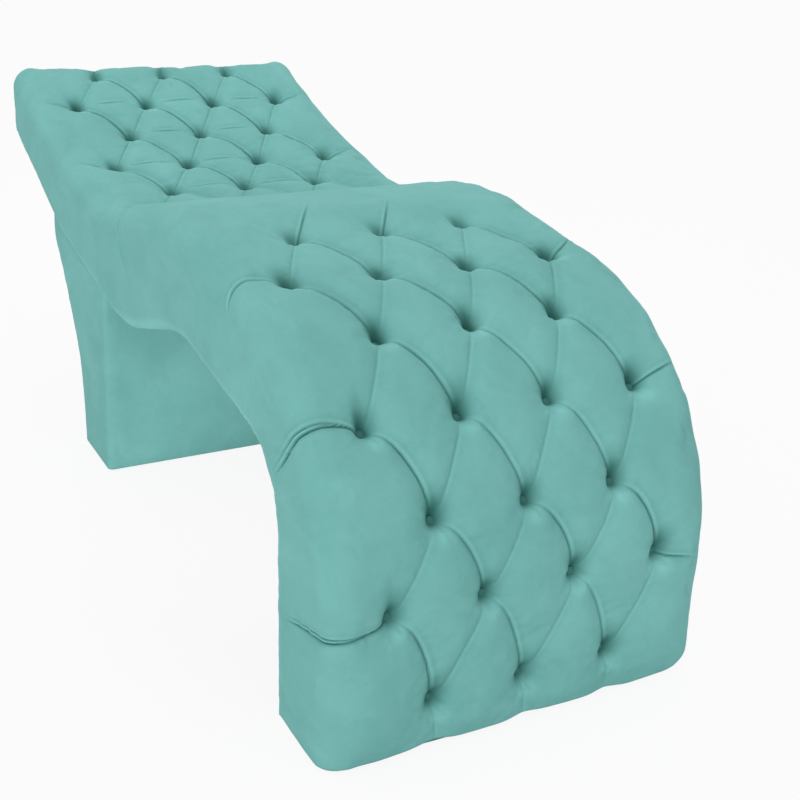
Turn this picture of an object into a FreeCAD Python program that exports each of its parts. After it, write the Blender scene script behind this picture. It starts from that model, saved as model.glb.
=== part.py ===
import FreeCAD, Part
import math
import os

# Tufted treatment bed: an arched, fully covered couch on a flared rear base.
# X runs across the bed, Y from the foot (-) to the head (+), Z up from the floor. All sizes in mm.
os.makedirs("parts", exist_ok=True)
Vector = FreeCAD.Vector
doc = FreeCAD.newDocument("treatment_bed")

SIZES = (
    # name, value, meaning
    ("bed_length", 1760, "foot front to head end"),
    ("bed_width", 700, "flank to flank over the cover"),
    ("hem_height", 3, "hem of the covers above the floor"),
    ("shoulder_radius", 40, "rounding of the long top edges and of the head end"),
    # corners of the top line: reach from the foot front, height above the floor, bend radius
    ("knee_height", 598, ""),
    ("knee_bend", 440, ""),
    ("crest_reach", 730, ""),
    ("crest_height", 685, ""),
    ("crest_bend", 750, ""),
    ("crease_reach", 1094, ""),
    ("crease_height", 576, ""),
    ("crease_bend", 500, ""),
    ("back_reach", 1495, ""),
    ("back_height", 662, ""),
    ("back_bend", 1500, ""),
    ("head_top", 762, ""),
    # corners of the underside
    ("foot_depth", 182, "thickness of the foot slab at the floor"),
    ("under_knee_reach", 208, ""),
    ("under_knee_height", 429, ""),
    ("under_knee_bend", 135, ""),
    ("under_crest_reach", 630, ""),
    ("under_crest_height", 488, ""),
    ("under_crest_bend", 300, ""),
    ("under_crease_reach", 935, ""),
    ("under_crease_height", 385, ""),
    ("under_crease_bend", 350, ""),
    ("under_back_reach", 1345, ""),
    ("under_back_height", 450, ""),
    ("under_back_bend", 360, ""),
    ("head_bottom", 611, ""),
    # layers, from the outside inwards
    ("cover_thickness", 3, "velvet with its backing"),
    ("foam_thickness", 72, "seat and back foam between cover and deck"),
    ("deck_thickness", 6, "bent plywood deck"),
    ("flank_foam_thickness", 12, "foam on the outside of each side panel"),
    ("end_foam_thickness", 20, "foam behind the head end of the cover"),
    ("lining_thickness", 3, "board closing the underside"),
    ("side_panel_thickness", 18, "plywood side panel"),
    # tufting: three and four buttons in turn, rows counted along the top line from the foot hem
    ("tuft_pitch", 164, "buttons across the bed"),
    ("leg_row_start", 70, "first leg row"),
    ("leg_row_pitch", 157, ""),
    ("leg_row_count", 7, ""),
    ("back_row_start", 1486, "row in the crease"),
    ("back_row_pitch", 137.5, ""),
    ("back_row_count", 6, ""),
    ("tuft_depth", 35, "cover surface to the bed of the button"),
    ("tuft_floor_radius", 12, ""),
    ("tuft_throat_radius", 30, "where the funnel turns from shallow to steep"),
    ("tuft_throat_depth", 8, ""),
    ("tuft_flare", 28, "run of the shallow part of the funnel"),
    ("pleat_depth", 10, "fold line between two buttons"),
    ("pleat_spread", 15, "half width of a fold at the surface"),
    ("pleat_start", 28, "distance of a fold's end from its button"),
    ("seat_pleat_run", 165, "length over which the folds above the last leg row fade out"),
    ("button_radius", 10.5, ""),
    ("button_height", 6, ""),
    ("twine_radius", 1.5, ""),
    ("twine_clearance", 0.3, "round a twine in cover and washer"),
    ("twine_hole_radius", 3, "holes for the twines in foam and deck"),
    ("washer_radius", 9, "twine washers under the deck"),
    ("washer_thickness", 2, ""),
    ("washer_clearance", 0.2, "flat washer below the hollow side of a bent board"),
    # joins between the three foam and deck lengths, along the top line
    ("leg_join", 1171, ""),
    ("seat_join", 1411, ""),
    # frame
    ("frame_foot", 6, "underside of the timber above the floor, the height of the glides"),
    ("rail_width", 40, ""),
    ("rail_depth", 28, ""),
    ("housing_depth", 6, "rail ends let into the side panels"),
    ("housing_clearance", 0.2, ""),
    ("housing_run_out", 8, "housings are notches, open to the panel's edge"),
    ("crest_rail_station", 1100, ""),
    ("seat_rail_station", 1310, ""),
    ("end_board_thickness", 12, ""),
    ("end_board_height", 46, ""),
    ("foot_rail_depth", 88, ""),
    ("foot_rail_height", 40, ""),
    # base
    ("base_inset", 6, "flanks of the base inside those of the bed"),
    ("base_width", "=bed_width - 2 * base_inset", "flank to flank of the base"),
    ("base_front", 1086, "front face from the foot front"),
    ("base_rear_floor", 1259, "rear face at the floor"),
    ("base_rear_top", 1450, "rear face under the bed"),
    ("base_flare_start", 200, "height of the lower rear corner"),
    ("base_flare_end", 430, "height of the upper rear corner"),
    ("base_flare_bend", 520, ""),
    ("base_lip_bend", 60, ""),
    ("base_edge_radius", 12, "rounded upright edges"),
    ("base_cover_thickness", 3, ""),
    ("base_wadding_thickness", 5, ""),
    ("base_panel_thickness", 15, "front and side panels"),
    ("base_bent_thickness", 6, "bent rear panel"),
    ("base_top_clearance", 0.4, "base panels below the bed"),
    ("base_post_width", 40, ""),
    ("base_post_height", 330, ""),
    ("sill_height", 40, ""),
    ("sill_depth", 34, ""),
    ("batten_width", 36, ""),
    ("batten_depth", 28, ""),
    ("batten_front_reach", 1160, ""),
    ("batten_rear_reach", 1404, ""),
    ("bolt_spread", 420, "between left and right bolts"),
    ("bolt_radius", 4, ""),
    ("bolt_clearance", 0.3, ""),
    ("bolt_head_radius", 6.5, ""),
    ("bolt_head_height", 5.5, ""),
    ("bolt_washer_radius", 10, ""),
    ("bolt_washer_thickness", 1.6, ""),
    ("nut_radius", 9, ""),
    ("nut_height", 8, ""),
    ("thread_clearance", 0.1, ""),
    # glides
    ("glide_radius", 14, ""),
    ("glide_spread", 540, "between left and right glides"),
)

sheet = doc.addObject("Spreadsheet::Sheet", "Sizes")
for row, (name, value, note) in enumerate(SIZES, 1):
    sheet.set("A%d" % row, name)
    sheet.set("B%d" % row, str(value))
    sheet.set("C%d" % row, note)
    sheet.setAlias("B%d" % row, name)
doc.recompute()


def size(name):
    """Value of a named cell."""
    return float(sheet.get(name))


class Run:
    """A line of straights and tangent bends in the Y-Z plane, travelled from its first corner.

    Points are given by a station (length along the line) and a depth to its inner side.
    """

    def __init__(self, corners, bends, inner):
        self.inner = inner
        self.pieces = []
        self.length = 0.0
        start = corners[0]
        for before, corner, after, radius in zip(corners, corners[1:], corners[2:], bends):
            arrive = (corner - before).normalize()
            leave = (after - corner).normalize()
            turn = math.atan2(arrive.x * leave.y - arrive.y * leave.x, arrive.dot(leave))
            tangent = radius * math.tan(abs(turn) / 2)
            bend_start = corner - arrive * tangent
            self._add(start, arrive, (bend_start - start).Length, 0.0)
            self._add(bend_start, arrive, radius * abs(turn), math.copysign(1 / radius, turn))
            start = corner + leave * tangent
        leave = (corners[-1] - start).normalize()
        self._add(start, leave, (corners[-1] - start).Length, 0.0)

    def _add(self, point, direction, length, curvature):
        heading = math.atan2(direction.y, direction.x)
        self.pieces.append((self.length, length, point, heading, curvature))
        self.length += length

    def _piece(self, station):
        for piece in self.pieces[:-1]:
            if station <= piece[0] + piece[1]:
                return piece
        return self.pieces[-1]

    def heading(self, station):
        first, _, _, heading, curvature = self._piece(station)
        return heading + curvature * (station - first)

    def point(self, station, depth=0.0):
        first, _, point, start, curvature = self._piece(station)
        end = self.heading(station)
        if curvature:
            step = Vector(math.sin(end) - math.sin(start), math.cos(start) - math.cos(end), 0)
            place = point + step * (1 / curvature)
        else:
            place = point + Vector(math.cos(start), math.sin(start), 0) * (station - first)
        return place + Vector(math.sin(end), -math.cos(end), 0) * (depth * self.inner)

    def outward(self, station):
        """Unit normal in space, away from the inner side."""
        heading = self.heading(station)
        return Vector(0, -math.sin(heading), math.cos(heading)) * self.inner

    def along(self, station):
        heading = self.heading(station)
        return Vector(0, math.cos(heading), math.sin(heading))

    def space(self, station, across=0.0, depth=0.0):
        place = self.point(station, depth)
        return Vector(across, place.x, place.y)

    def station_at(self, reach, depth=0.0):
        """Last station whose point at this depth has the given Y."""
        low, high = 0.0, self.length + 100.0
        for _ in range(60):
            middle = (low + high) / 2
            if self.point(middle, depth).x < reach:
                low = middle
            else:
                high = middle
        return low

    def curves(self, start, end, depth=0.0):
        """Lines and arcs of the line at one depth, in sketch coordinates."""
        breaks = [piece[0] for piece in self.pieces[1:] if start + 1e-6 < piece[0] < end - 1e-6]
        found = []
        for first, last in zip([start] + breaks, breaks + [end]):
            middle = (first + last) / 2
            ends = [self.point(s, depth) for s in (first + 1e-9, middle, last - 1e-9)]
            if self._piece(middle)[4]:
                found.append(Part.Arc(*ends))
            else:
                found.append(Part.LineSegment(ends[0], ends[2]))
        return found


def corner(reach, height):
    """Point of the Y-Z plane from a reach behind the foot front."""
    return Vector(reach - size("bed_length") / 2, height, 0)


def named_corner(name):
    return corner(size(name + "_reach"), size(name + "_height"))


head = size("bed_length") / 2
hem = size("hem_height")
top = Run(
    [corner(0, hem), corner(0, size("knee_height"))]
    + [named_corner(name) for name in ("crest", "crease", "back")]
    + [corner(size("bed_length"), size("head_top"))],
    [size(name) for name in ("knee_bend", "crest_bend", "crease_bend", "back_bend")],
    1,
)
under = Run(
    [corner(size("foot_depth"), hem)]
    + [named_corner("under_" + name) for name in ("knee", "crest", "crease", "back")]
    + [corner(size("bed_length"), size("head_bottom"))],
    [size("under_%s_bend" % name) for name in ("knee", "crest", "crease", "back")],
    -1,
)
base_rear = Run(
    [
        corner(size("base_rear_floor"), hem),
        corner(size("base_rear_floor"), size("base_flare_start")),
        corner(size("base_rear_top"), size("base_flare_end")),
        corner(size("base_rear_top"), size("head_bottom")),
    ],
    [size("base_flare_bend"), size("base_lip_bend")],
    -1,
)

cover = size("cover_thickness")
foam_floor = cover + size("foam_thickness")
deck_floor = foam_floor + size("deck_thickness")
foot_station = size("frame_foot") - hem
panel_outside = size("bed_width") / 2 - cover - size("flank_foam_thickness")
panel_inside = panel_outside - size("side_panel_thickness")
frame_end = head - cover - size("end_foam_thickness")
SPACE = FreeCAD.Rotation(Vector(1, 1, 1), 120)


def chain(points):
    return [Part.LineSegment(a, b) for a, b in zip(points, points[1:]) if (b - a).Length > 1e-6]


def closed(first, second):
    """Two open rows of curves, travelled the same way, joined at both ends."""
    starts = [row[0].StartPoint for row in (first, second)]
    ends = [row[-1].EndPoint for row in (first, second)]
    return first + chain(ends) + second + chain(starts)


def face_of(curves):
    edges = Part.__sortEdges__([curve.toShape() for curve in curves])
    face = Part.Face(Part.Wire(edges))
    face.Placement = FreeCAD.Placement(Vector(), SPACE)
    return face


def prism(curves, left, right):
    """Solid of a Y-Z outline between two places across the bed."""
    face = face_of(curves)
    face.translate(Vector(left, 0, 0))
    return face.extrude(Vector(right - left, 0, 0))


def feature(label, shape):
    item = doc.addObject("Part::Feature", label)
    item.Shape = shape
    return item


def padded_body(label, curves, thickness, offset=None):
    """Body with one sketched outline, padded across the bed: about the middle, or from an offset."""
    body = doc.addObject("PartDesign::Body", label)
    sketch = body.newObject("Sketcher::SketchObject", label + "_outline")
    plane = [item for item in body.Origin.OriginFeatures if item.Role == "YZ_Plane"][0]
    sketch.AttachmentSupport = [(plane, "")]
    sketch.MapMode = "FlatFace"
    sketch.addGeometry(curves, False)
    if offset:
        sketch.setExpression("AttachmentOffset.Base.z", offset)
    pad = body.newObject("PartDesign::Pad", label + "_pad")
    pad.Profile = sketch
    pad.SideType = "One side" if offset else "Symmetric"
    pad.setExpression("Length", thickness)
    return body


def boolean(kind, label, base, tool):
    item = doc.addObject("Part::" + kind, label)
    item.Base = base
    item.Tool = tool
    item.Refine = False
    return item


def group(label, shapes):
    return feature(label, Part.makeCompound(shapes))


# Tuft places: rows of three and four in turn on the legs, of four and three on the back
def tuft_row(station, count):
    return station, [size("tuft_pitch") * (i - (count - 1) / 2) for i in range(count)]


leg_rows = [
    tuft_row(size("leg_row_start") + size("leg_row_pitch") * i, 3 + i % 2)
    for i in range(int(size("leg_row_count")))
]
back_rows = [
    tuft_row(size("back_row_start") + size("back_row_pitch") * i, 4 - i % 2)
    for i in range(int(size("back_row_count")))
]
tufts = [(station, across) for station, places in leg_rows + back_rows for across in places]


def turned(outline, station, across, run=top):
    """Solid turned from (radius, depth) points, set on a line."""
    points = [Vector(radius, 0, -depth) for radius, depth in outline]
    solid = Part.Face(Part.makePolygon(points + points[:1])).revolve(Vector(), Vector(0, 0, 1), 360)
    solid.Placement = FreeCAD.Placement(
        run.space(station, across), FreeCAD.Rotation(Vector(0, 0, 1), run.outward(station)))
    return solid


def funnel(station, across, grow):
    """Cutter of one tuft: shallow flare, steep throat; the outer one goes on for the twine."""
    throat = size("tuft_throat_radius") + grow
    rise = size("tuft_flare") / 2
    depth = size("tuft_depth") + grow
    outline = [
        (0, -rise),
        (throat + size("tuft_flare"), -rise),
        (throat, size("tuft_throat_depth") + grow * 0.7),
        (size("tuft_floor_radius") + grow, depth),
    ]
    if not grow:
        stem = size("twine_radius") + size("twine_clearance")
        depth += cover + 2
        outline += [(stem, size("tuft_depth")), (stem, depth)]
    return turned(outline + [(0, depth)], station, across)


def pleat(start, end, grow, start_trim, end_trim, end_depth=None):
    """Straight V cutter between two (station, across) places."""
    depth = size("pleat_depth") + grow * 1.15
    first = top.space(start[0], start[1], depth)
    last = top.space(end[0], end[1], depth if end_depth is None else end_depth)
    line = (last - first).normalize()
    side = line.cross(top.outward(start[0]) + top.outward(end[0])).normalize()
    rise = side.cross(line) * (size("pleat_depth") + 18)
    spread = side * (size("pleat_spread") * (size("pleat_depth") + 18) / size("pleat_depth"))
    foot = first + line * start_trim
    section = Part.Face(Part.makePolygon([foot, foot + rise + spread, foot + rise - spread, foot]))
    return section.extrude(last - line * end_trim - foot)


def tuft_cutters(grow):
    """Cutters in four lots, none of which meet within a lot."""
    trim = size("pleat_start")
    past_edge = size("bed_width") * 0.6
    rising, falling, outer = [], [], []
    for rows in (leg_rows, back_rows):
        for (station, places), (following, nexts) in zip(rows, rows[1:]):
            for a in places:
                for b in nexts:
                    if abs(a - b) < 0.6 * size("tuft_pitch"):
                        lot = rising if b > a else falling
                        lot.append(pleat((station, a), (following, b), grow, trim, trim))
    for station, places in leg_rows + back_rows:
        if len(places) == 4:
            outer.append(pleat((station, places[0]), (station, -past_edge), grow, trim, 0))
            outer.append(pleat((station, places[-1]), (station, past_edge), grow, trim, 0))
    crease, places = back_rows[0]
    for a, b in zip(places, places[1:]):
        outer.append(pleat((crease, a), (crease, b), grow, trim, trim))
    for across in leg_rows[0][1]:
        outer.append(pleat((leg_rows[0][0], across), (-40, across), grow, trim, 0))
    for across in leg_rows[-1][1]:
        fade = leg_rows[-1][0] + size("seat_pleat_run")
        outer.append(pleat((leg_rows[-1][0], across), (fade, across), grow, trim, 0, -6))
    for across in back_rows[-1][1]:
        outer.append(pleat((back_rows[-1][0], across), (top.length + 40, across), grow, trim, 0))
    return [funnel(s, x, grow) for s, x in tufts], rising, falling, outer


def rounded_block(depth, foot_line):
    """Block under the top line at one depth, its long top edges and head end rounded."""
    half = size("bed_width") / 2 - depth
    end = head - depth
    last = top.station_at(end, depth)
    outline = top.curves(0, last, depth) + foot_line(top.point(0, depth), top.point(last, depth))
    block = prism(outline, -half, half)
    rim = [top.space((a + b) / 2, side, depth) for side in (-half, half) for a, b in spans(last)]
    peak = top.point(last, depth)
    rim += [Vector(0, peak.x, peak.y)] + [Vector(side, end, peak.y - 60) for side in (-half, half)]
    edges = [
        edge for edge in block.Edges if any(edge.distToShape(Part.Vertex(mark))[0] < 0.01 for mark in rim)
    ]
    return block.makeFillet(size("shoulder_radius") - depth, edges).Solids[0]


def spans(last):
    breaks = [0.0] + [piece[0] for piece in top.pieces[1:]]
    return zip(breaks, breaks[1:] + [last])


def outer_foot(start, end):
    line = under.curves(0, under.length)
    return line + chain([start, line[0].StartPoint]) + chain([end, line[-1].EndPoint])


def inner_foot(start, end):
    """Runs well below the underside, so that the block leaves the cover open there."""
    low = -size("head_top")
    return chain([start, Vector(start.x, low, 0), Vector(end.x, low, 0), end])


def tufted(label, depth, foot_line):
    block = rounded_block(depth, foot_line)
    for lot in tuft_cutters(depth):
        block = max(block.cut(lot).Solids, key=lambda solid: solid.Volume)
    return feature(label, block)


def band(run, start, end, near, far):
    return closed(run.curves(start, end, near), run.curves(start, end, far))


# Soft upper parts
cover_outside = tufted("cover_outside", 0.0, outer_foot)
cover_inside = tufted("cover_inside", cover, inner_foot)
boolean("Cut", "velvet_cover", cover_outside, cover_inside)

hole_ends = size("tuft_depth") - 5, deck_floor + 5
hole = [(0, hole_ends[0]), (size("twine_hole_radius"), hole_ends[0])]
hole += [(radius, hole_ends[1]) for radius, _ in reversed(hole)]
twine_holes = group("twine_holes", [turned(hole, *place) for place in tufts])
joins = [foot_station, size("leg_join"), size("seat_join"), top.length + 60]
for name, start, end in zip(("leg", "seat", "back"), joins, joins[1:]):
    zone = padded_body(name + "_foam_zone", band(top, start, end, -30, foam_floor), "Sizes.bed_width")
    if name == "seat":
        boolean("Common", "seat_foam", cover_inside, zone)
    else:
        blank = boolean("Common", name + "_foam_blank", cover_inside, zone)
        boolean("Cut", name + "_foam", blank, twine_holes)

end_round = head - size("shoulder_radius")
flank_outline = closed(
    top.curves(foot_station, top.station_at(end_round, foam_floor), foam_floor),
    under.curves(foot_station, under.station_at(end_round)),
)
padded_body("flank_foam_right", flank_outline, "Sizes.flank_foam_thickness",
            "Sizes.bed_width / 2 - Sizes.cover_thickness - Sizes.flank_foam_thickness")
padded_body("flank_foam_left", flank_outline, "Sizes.flank_foam_thickness",
            "Sizes.cover_thickness - Sizes.bed_width / 2")

end_outline = closed(
    top.curves(top.station_at(end_round, foam_floor), top.station_at(head, foam_floor), foam_floor),
    under.curves(under.station_at(end_round), under.length),
)
end_zone = padded_body("end_zone", end_outline, "Sizes.bed_width")
end_block = boolean("Common", "end_block", end_zone, cover_inside)
end_frame = doc.addObject("Part::Box", "end_frame")
deck_width = "Sizes.bed_width - 2 * (Sizes.cover_thickness + Sizes.flank_foam_thickness)"
end_frame.setExpression("Length", deck_width)
end_frame.setExpression("Width", "Sizes.bed_length / 2 - Sizes.cover_thickness - Sizes.end_foam_thickness")
end_frame.setExpression("Height", "Sizes.head_top + Sizes.shoulder_radius")
end_frame.setExpression("Placement.Base.x",
                        "Sizes.cover_thickness + Sizes.flank_foam_thickness - Sizes.bed_width / 2")
boolean("Cut", "head_end_foam", end_block, end_frame)

# Buttons, twines and washers
crown = size("tuft_depth") - size("button_height")
button = [
    (0, crown),
    (size("button_radius") * 0.6, crown + size("button_height") * 0.2),
    (size("button_radius"), crown + size("button_height") * 0.65),
    (size("button_radius") * 0.85, size("tuft_depth")),
    (0, size("tuft_depth")),
]
group("tuft_buttons", [turned(button, *place) for place in tufts])
washer_seat = deck_floor + size("washer_clearance")
twine_end = washer_seat + size("washer_thickness") + 3
twine = [
    (0, size("tuft_depth")),
    (size("twine_radius"), size("tuft_depth")),
    (size("twine_radius"), twine_end),
    (0, twine_end),
]
group("tuft_twines", [turned(twine, *place) for place in tufts])
washer_hole = size("twine_radius") + size("twine_clearance")
washer = [(r, washer_seat + t) for r, t in (
    (washer_hole, 0),
    (size("washer_radius"), 0),
    (size("washer_radius"), size("washer_thickness")),
    (washer_hole, size("washer_thickness")),
)]
group("twine_washers", [turned(washer, *place) for place in tufts])

# Deck boards, drilled for the twines
deck_joins = joins[:3] + [top.station_at(frame_end, deck_floor)]
for name, start, end in zip(("leg", "seat", "back"), deck_joins, deck_joins[1:]):
    outline = band(top, start, end, foam_floor, deck_floor)
    if name == "seat":
        padded_body("seat_deck", outline, deck_width)
    else:
        boolean("Cut", name + "_deck", padded_body(name + "_deck_blank", outline, deck_width), twine_holes)

# Bolts through base battens, lining and mount rails
BOLT_REACHES = [corner(size("batten_%s_reach" % name), 0).x for name in ("front", "rear")]
bolt_places = [
    (under.station_at(reach), side * size("bolt_spread") / 2) for reach in BOLT_REACHES for side in (-1, 1)
]


def ring(inside, outside, near, far):
    return [(inside, near), (outside, near), (outside, far), (inside, far)]


def bolt_group(label, outline):
    return group(label, [turned(outline, station, across, under) for station, across in bolt_places])


batten_floor = -size("batten_depth")
washer_floor = batten_floor - size("bolt_washer_thickness")
head_floor = washer_floor - size("bolt_head_height")
rail_roof = size("lining_thickness") + size("rail_depth")
bolt_tip = rail_roof + size("nut_height") + 2
nut_hole = size("bolt_radius") + size("thread_clearance")
bolt_hole = size("bolt_radius") + size("bolt_clearance")
bolt_holes = bolt_group("bolt_holes", ring(0, bolt_hole, head_floor - 5, bolt_tip + 5))
bolt_group("base_bolts", [
    (0, head_floor),
    (size("bolt_head_radius"), head_floor),
    (size("bolt_head_radius"), washer_floor),
    (size("bolt_radius"), washer_floor),
    (size("bolt_radius"), bolt_tip),
    (0, bolt_tip),
])
bolt_group("base_bolt_washers", ring(bolt_hole, size("bolt_washer_radius"), washer_floor, batten_floor))
bolt_group("base_nuts", ring(nut_hole, size("nut_radius"), rail_roof, rail_roof + size("nut_height")))

# Rails, midway between tuft rows so that the washers stay clear of them
RAIL_LENGTH = ("Sizes.bed_width - 2 * (Sizes.cover_thickness + Sizes.flank_foam_thickness"
               " + Sizes.side_panel_thickness - Sizes.housing_depth + Sizes.housing_clearance)")
BATTEN_LENGTH = ("Sizes.base_width - 2 * (Sizes.base_cover_thickness + Sizes.base_wadding_thickness"
                 " + Sizes.base_panel_thickness + Sizes.housing_clearance)")
rail_half = panel_inside + size("housing_depth") - size("housing_clearance")
housings = []


def seat_drop(run, station, depth, width):
    """How far a flat rail has to stand off the hollow side of a bent board."""
    ends = [run.space(station + step * width * 0.62, 0, depth) for step in (-1, 1)]
    return max(0.0, (run.space(station, 0, depth) - (ends[0] + ends[1]) * 0.5).dot(run.outward(station)))


def rail(label, run, station, near, width, depth, length=RAIL_LENGTH, half=rail_half):
    """Box laid on a line, its width along it and its depth inwards, with housings for its ends."""
    if length is RAIL_LENGTH:
        near += seat_drop(run, station, near, size(width))
    deepest = near + size(depth) if run is top else near
    turn = FreeCAD.Rotation(Vector(1, 0, 0), math.degrees(run.heading(station)))
    start = run.space(station, -half, deepest) - run.along(station) * (size(width) / 2)
    item = doc.addObject("Part::Box", label)
    item.setExpression("Length", length)
    item.setExpression("Width", "Sizes." + width)
    item.setExpression("Height", "Sizes." + depth)
    item.Placement = FreeCAD.Placement(start, turn)
    if length is RAIL_LENGTH:
        gap = size("housing_clearance")
        run_out = size("housing_run_out")
        housing = Part.makeBox(2 * (half + gap), size(width) + 2 * gap, size(depth) + gap + run_out)
        drop = gap if run is top else run_out
        housing.Placement = FreeCAD.Placement(start + turn.multVec(Vector(-gap, -gap, -drop)), turn)
        housings.append(housing)
    return item


def half_way(rows, index):
    return (rows[index][0] + rows[index + 1][0]) / 2


for name, station in (
    ("shin_rail", half_way(leg_rows, 0)),
    ("knee_rail", half_way(leg_rows, 2)),
    ("thigh_rail", half_way(leg_rows, 4)),
    ("crest_rail", size("crest_rail_station")),
    ("seat_rail", size("seat_rail_station")),
    ("crease_rail", half_way(back_rows, 0)),
    ("back_rail", half_way(back_rows, 2)),
    ("head_rail", half_way(back_rows, 4)),
):
    rail(name, top, station, deck_floor, "rail_width", "rail_depth")
end_board = doc.addObject("Part::Box", "head_end_board")
end_board.setExpression("Length", "Sizes.bed_width - 2 * (Sizes.cover_thickness + Sizes.flank_foam_thickness"
                        " + Sizes.side_panel_thickness + Sizes.housing_clearance)")
end_board.setExpression("Width", "Sizes.end_board_thickness")
end_board.setExpression("Height", "Sizes.end_board_height")
end_board.setExpression("Placement.Base.x", "-Length / 2")
end_line = under.station_at(frame_end, size("lining_thickness"))
end_board.Placement.Base.y = frame_end - size("end_board_thickness")
end_board.Placement.Base.z = under.point(end_line, size("lining_thickness")).y + size("washer_clearance")
foot_station_mid = foot_station + size("foot_rail_height") / 2
rail("foot_rail", top, foot_station_mid, deck_floor, "foot_rail_height", "foot_rail_depth")
for name, reach in zip(("front", "rear"), BOLT_REACHES):
    station = under.station_at(reach)
    lining_top = size("lining_thickness")
    blank = rail("mount_blank_" + name, under, station, lining_top, "batten_width", "rail_depth")
    boolean("Cut", "mount_rail_" + name, blank, bolt_holes)

# Side panels with the rail housings, and the lining below
panel_outline = closed(
    top.curves(foot_station, top.station_at(frame_end, deck_floor), deck_floor),
    under.curves(foot_station, end_line, size("lining_thickness")),
)
housing_tools = group("rail_housings", housings)
right_offset = ("Sizes.bed_width / 2 - Sizes.cover_thickness - Sizes.flank_foam_thickness"
                " - Sizes.side_panel_thickness")
left_offset = "Sizes.cover_thickness + Sizes.flank_foam_thickness - Sizes.bed_width / 2"
for side, offset in (("right", right_offset), ("left", left_offset)):
    blank = padded_body("side_blank_" + side, panel_outline, "Sizes.side_panel_thickness", offset)
    boolean("Cut", "side_panel_" + side, blank, housing_tools)
lining = band(under, foot_station, under.station_at(frame_end), 0, size("lining_thickness"))
boolean("Cut", "underside_lining", padded_body("lining_blank", lining, deck_width), bolt_holes)

# Base: panels on sills and posts, wrapped in wadding and cover, trimmed to the underside of the bed
base_start = under.station_at(corner(size("base_front"), 0).x - 50)
base_stop = under.station_at(corner(size("base_rear_top"), 0).x + 50)
trim_line = under.curves(base_start, base_stop, -size("base_top_clearance"))
roof = size("head_top") + 50
trim_ends = [trim_line[0].StartPoint, trim_line[-1].EndPoint]
trim_roof = [Vector(point.x, roof, 0) for point in trim_ends]
trim_over = chain([trim_ends[0], trim_roof[0], trim_roof[1], trim_ends[1]])
underside_trim = feature("underside_trim", prism(trim_line + trim_over, -head, head))
base_half = size("base_width") / 2
wadding_depth = size("base_cover_thickness")
core_depth = wadding_depth + size("base_wadding_thickness")
bent_depth = core_depth + size("base_bent_thickness")
board_depth = core_depth + size("base_panel_thickness")


def base_outline(depth, start, front=None):
    rear = base_rear.curves(start, base_rear.length, depth)
    face = corner(size("base_front") + (depth if front is None else front), 0).x
    low, high = rear[0].StartPoint, rear[-1].EndPoint
    return rear + chain([high, Vector(face, high.y, 0), Vector(face, low.y, 0), low])


def base_block(label, depth, start):
    """Base at one depth below its cover, with rounded upright edges."""
    half = base_half - depth
    block = prism(base_outline(depth, start), -half, half)
    front = corner(size("base_front") + depth, 0).x
    marks = [Vector(side, front, size("under_crease_height") / 2) for side in (-half, half)]
    for first, length, *_ in base_rear.pieces:
        marks += [base_rear.space(first + length / 2, side, depth) for side in (-half, half)]
    edges = [e for e in block.Edges if any(e.distToShape(Part.Vertex(mark))[0] < 0.01 for mark in marks)]
    return feature(label, block.makeFillet(size("base_edge_radius") - depth, edges).Solids[0])


def trimmed(label, item):
    return boolean("Cut", label, item, underside_trim)


below = -4 * size("hem_height")
base_outside = base_block("base_outside", 0, 0)
base_wadding_outside = base_block("base_wadding_outside", wadding_depth, foot_station)
base_cover_inside = base_block("base_cover_inside", wadding_depth, below)
base_core = base_block("base_core", core_depth, foot_station)
base_wadding_inside = base_block("base_wadding_inside", core_depth, below)
trimmed("base_cover", boolean("Cut", "base_cover_tall", base_outside, base_cover_inside))
trimmed("base_wadding", boolean("Cut", "base_wadding_tall", base_wadding_outside, base_wadding_inside))

board_face = corner(size("base_front") + board_depth, 0).x
front_zone = doc.addObject("Part::Box", "base_front_zone")
front_zone.setExpression("Length", "Sizes.base_width")
front_zone.setExpression("Width", "Sizes.base_panel_thickness")
front_zone.setExpression("Height", "Sizes.head_top")
front_zone.setExpression("Placement.Base.x", "-Sizes.base_width / 2")
front_zone.setExpression("Placement.Base.y", "Sizes.base_front - Sizes.bed_length / 2"
                         " + Sizes.base_cover_thickness + Sizes.base_wadding_thickness")
trimmed("base_front_panel", boolean("Common", "base_front_tall", base_core, front_zone))
rear_band = band(base_rear, foot_station, base_rear.length, core_depth - 3, bent_depth)
rear_zone = padded_body("base_rear_zone", rear_band, "Sizes.base_width")
trimmed("base_rear_panel", boolean("Common", "base_rear_tall", base_core, rear_zone))
side_outline = base_outline(bent_depth, foot_station, board_depth)
base_skin = "Sizes.base_cover_thickness + Sizes.base_wadding_thickness"
for side, offset in (
    ("right", "Sizes.base_width / 2 - Sizes.base_panel_thickness - (%s)" % base_skin),
    ("left", "%s - Sizes.base_width / 2" % base_skin),
):
    trimmed("base_side_" + side,
            padded_body("base_side_tall_" + side, side_outline, "Sizes.base_panel_thickness", offset))

for name, reach in zip(("front", "rear"), BOLT_REACHES):
    blank = rail("batten_blank_" + name, under, under.station_at(reach), batten_floor, "batten_width",
                 "batten_depth", BATTEN_LENGTH, base_half - board_depth - size("housing_clearance"))
    boolean("Cut", "base_batten_" + name, blank, bolt_holes)

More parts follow.
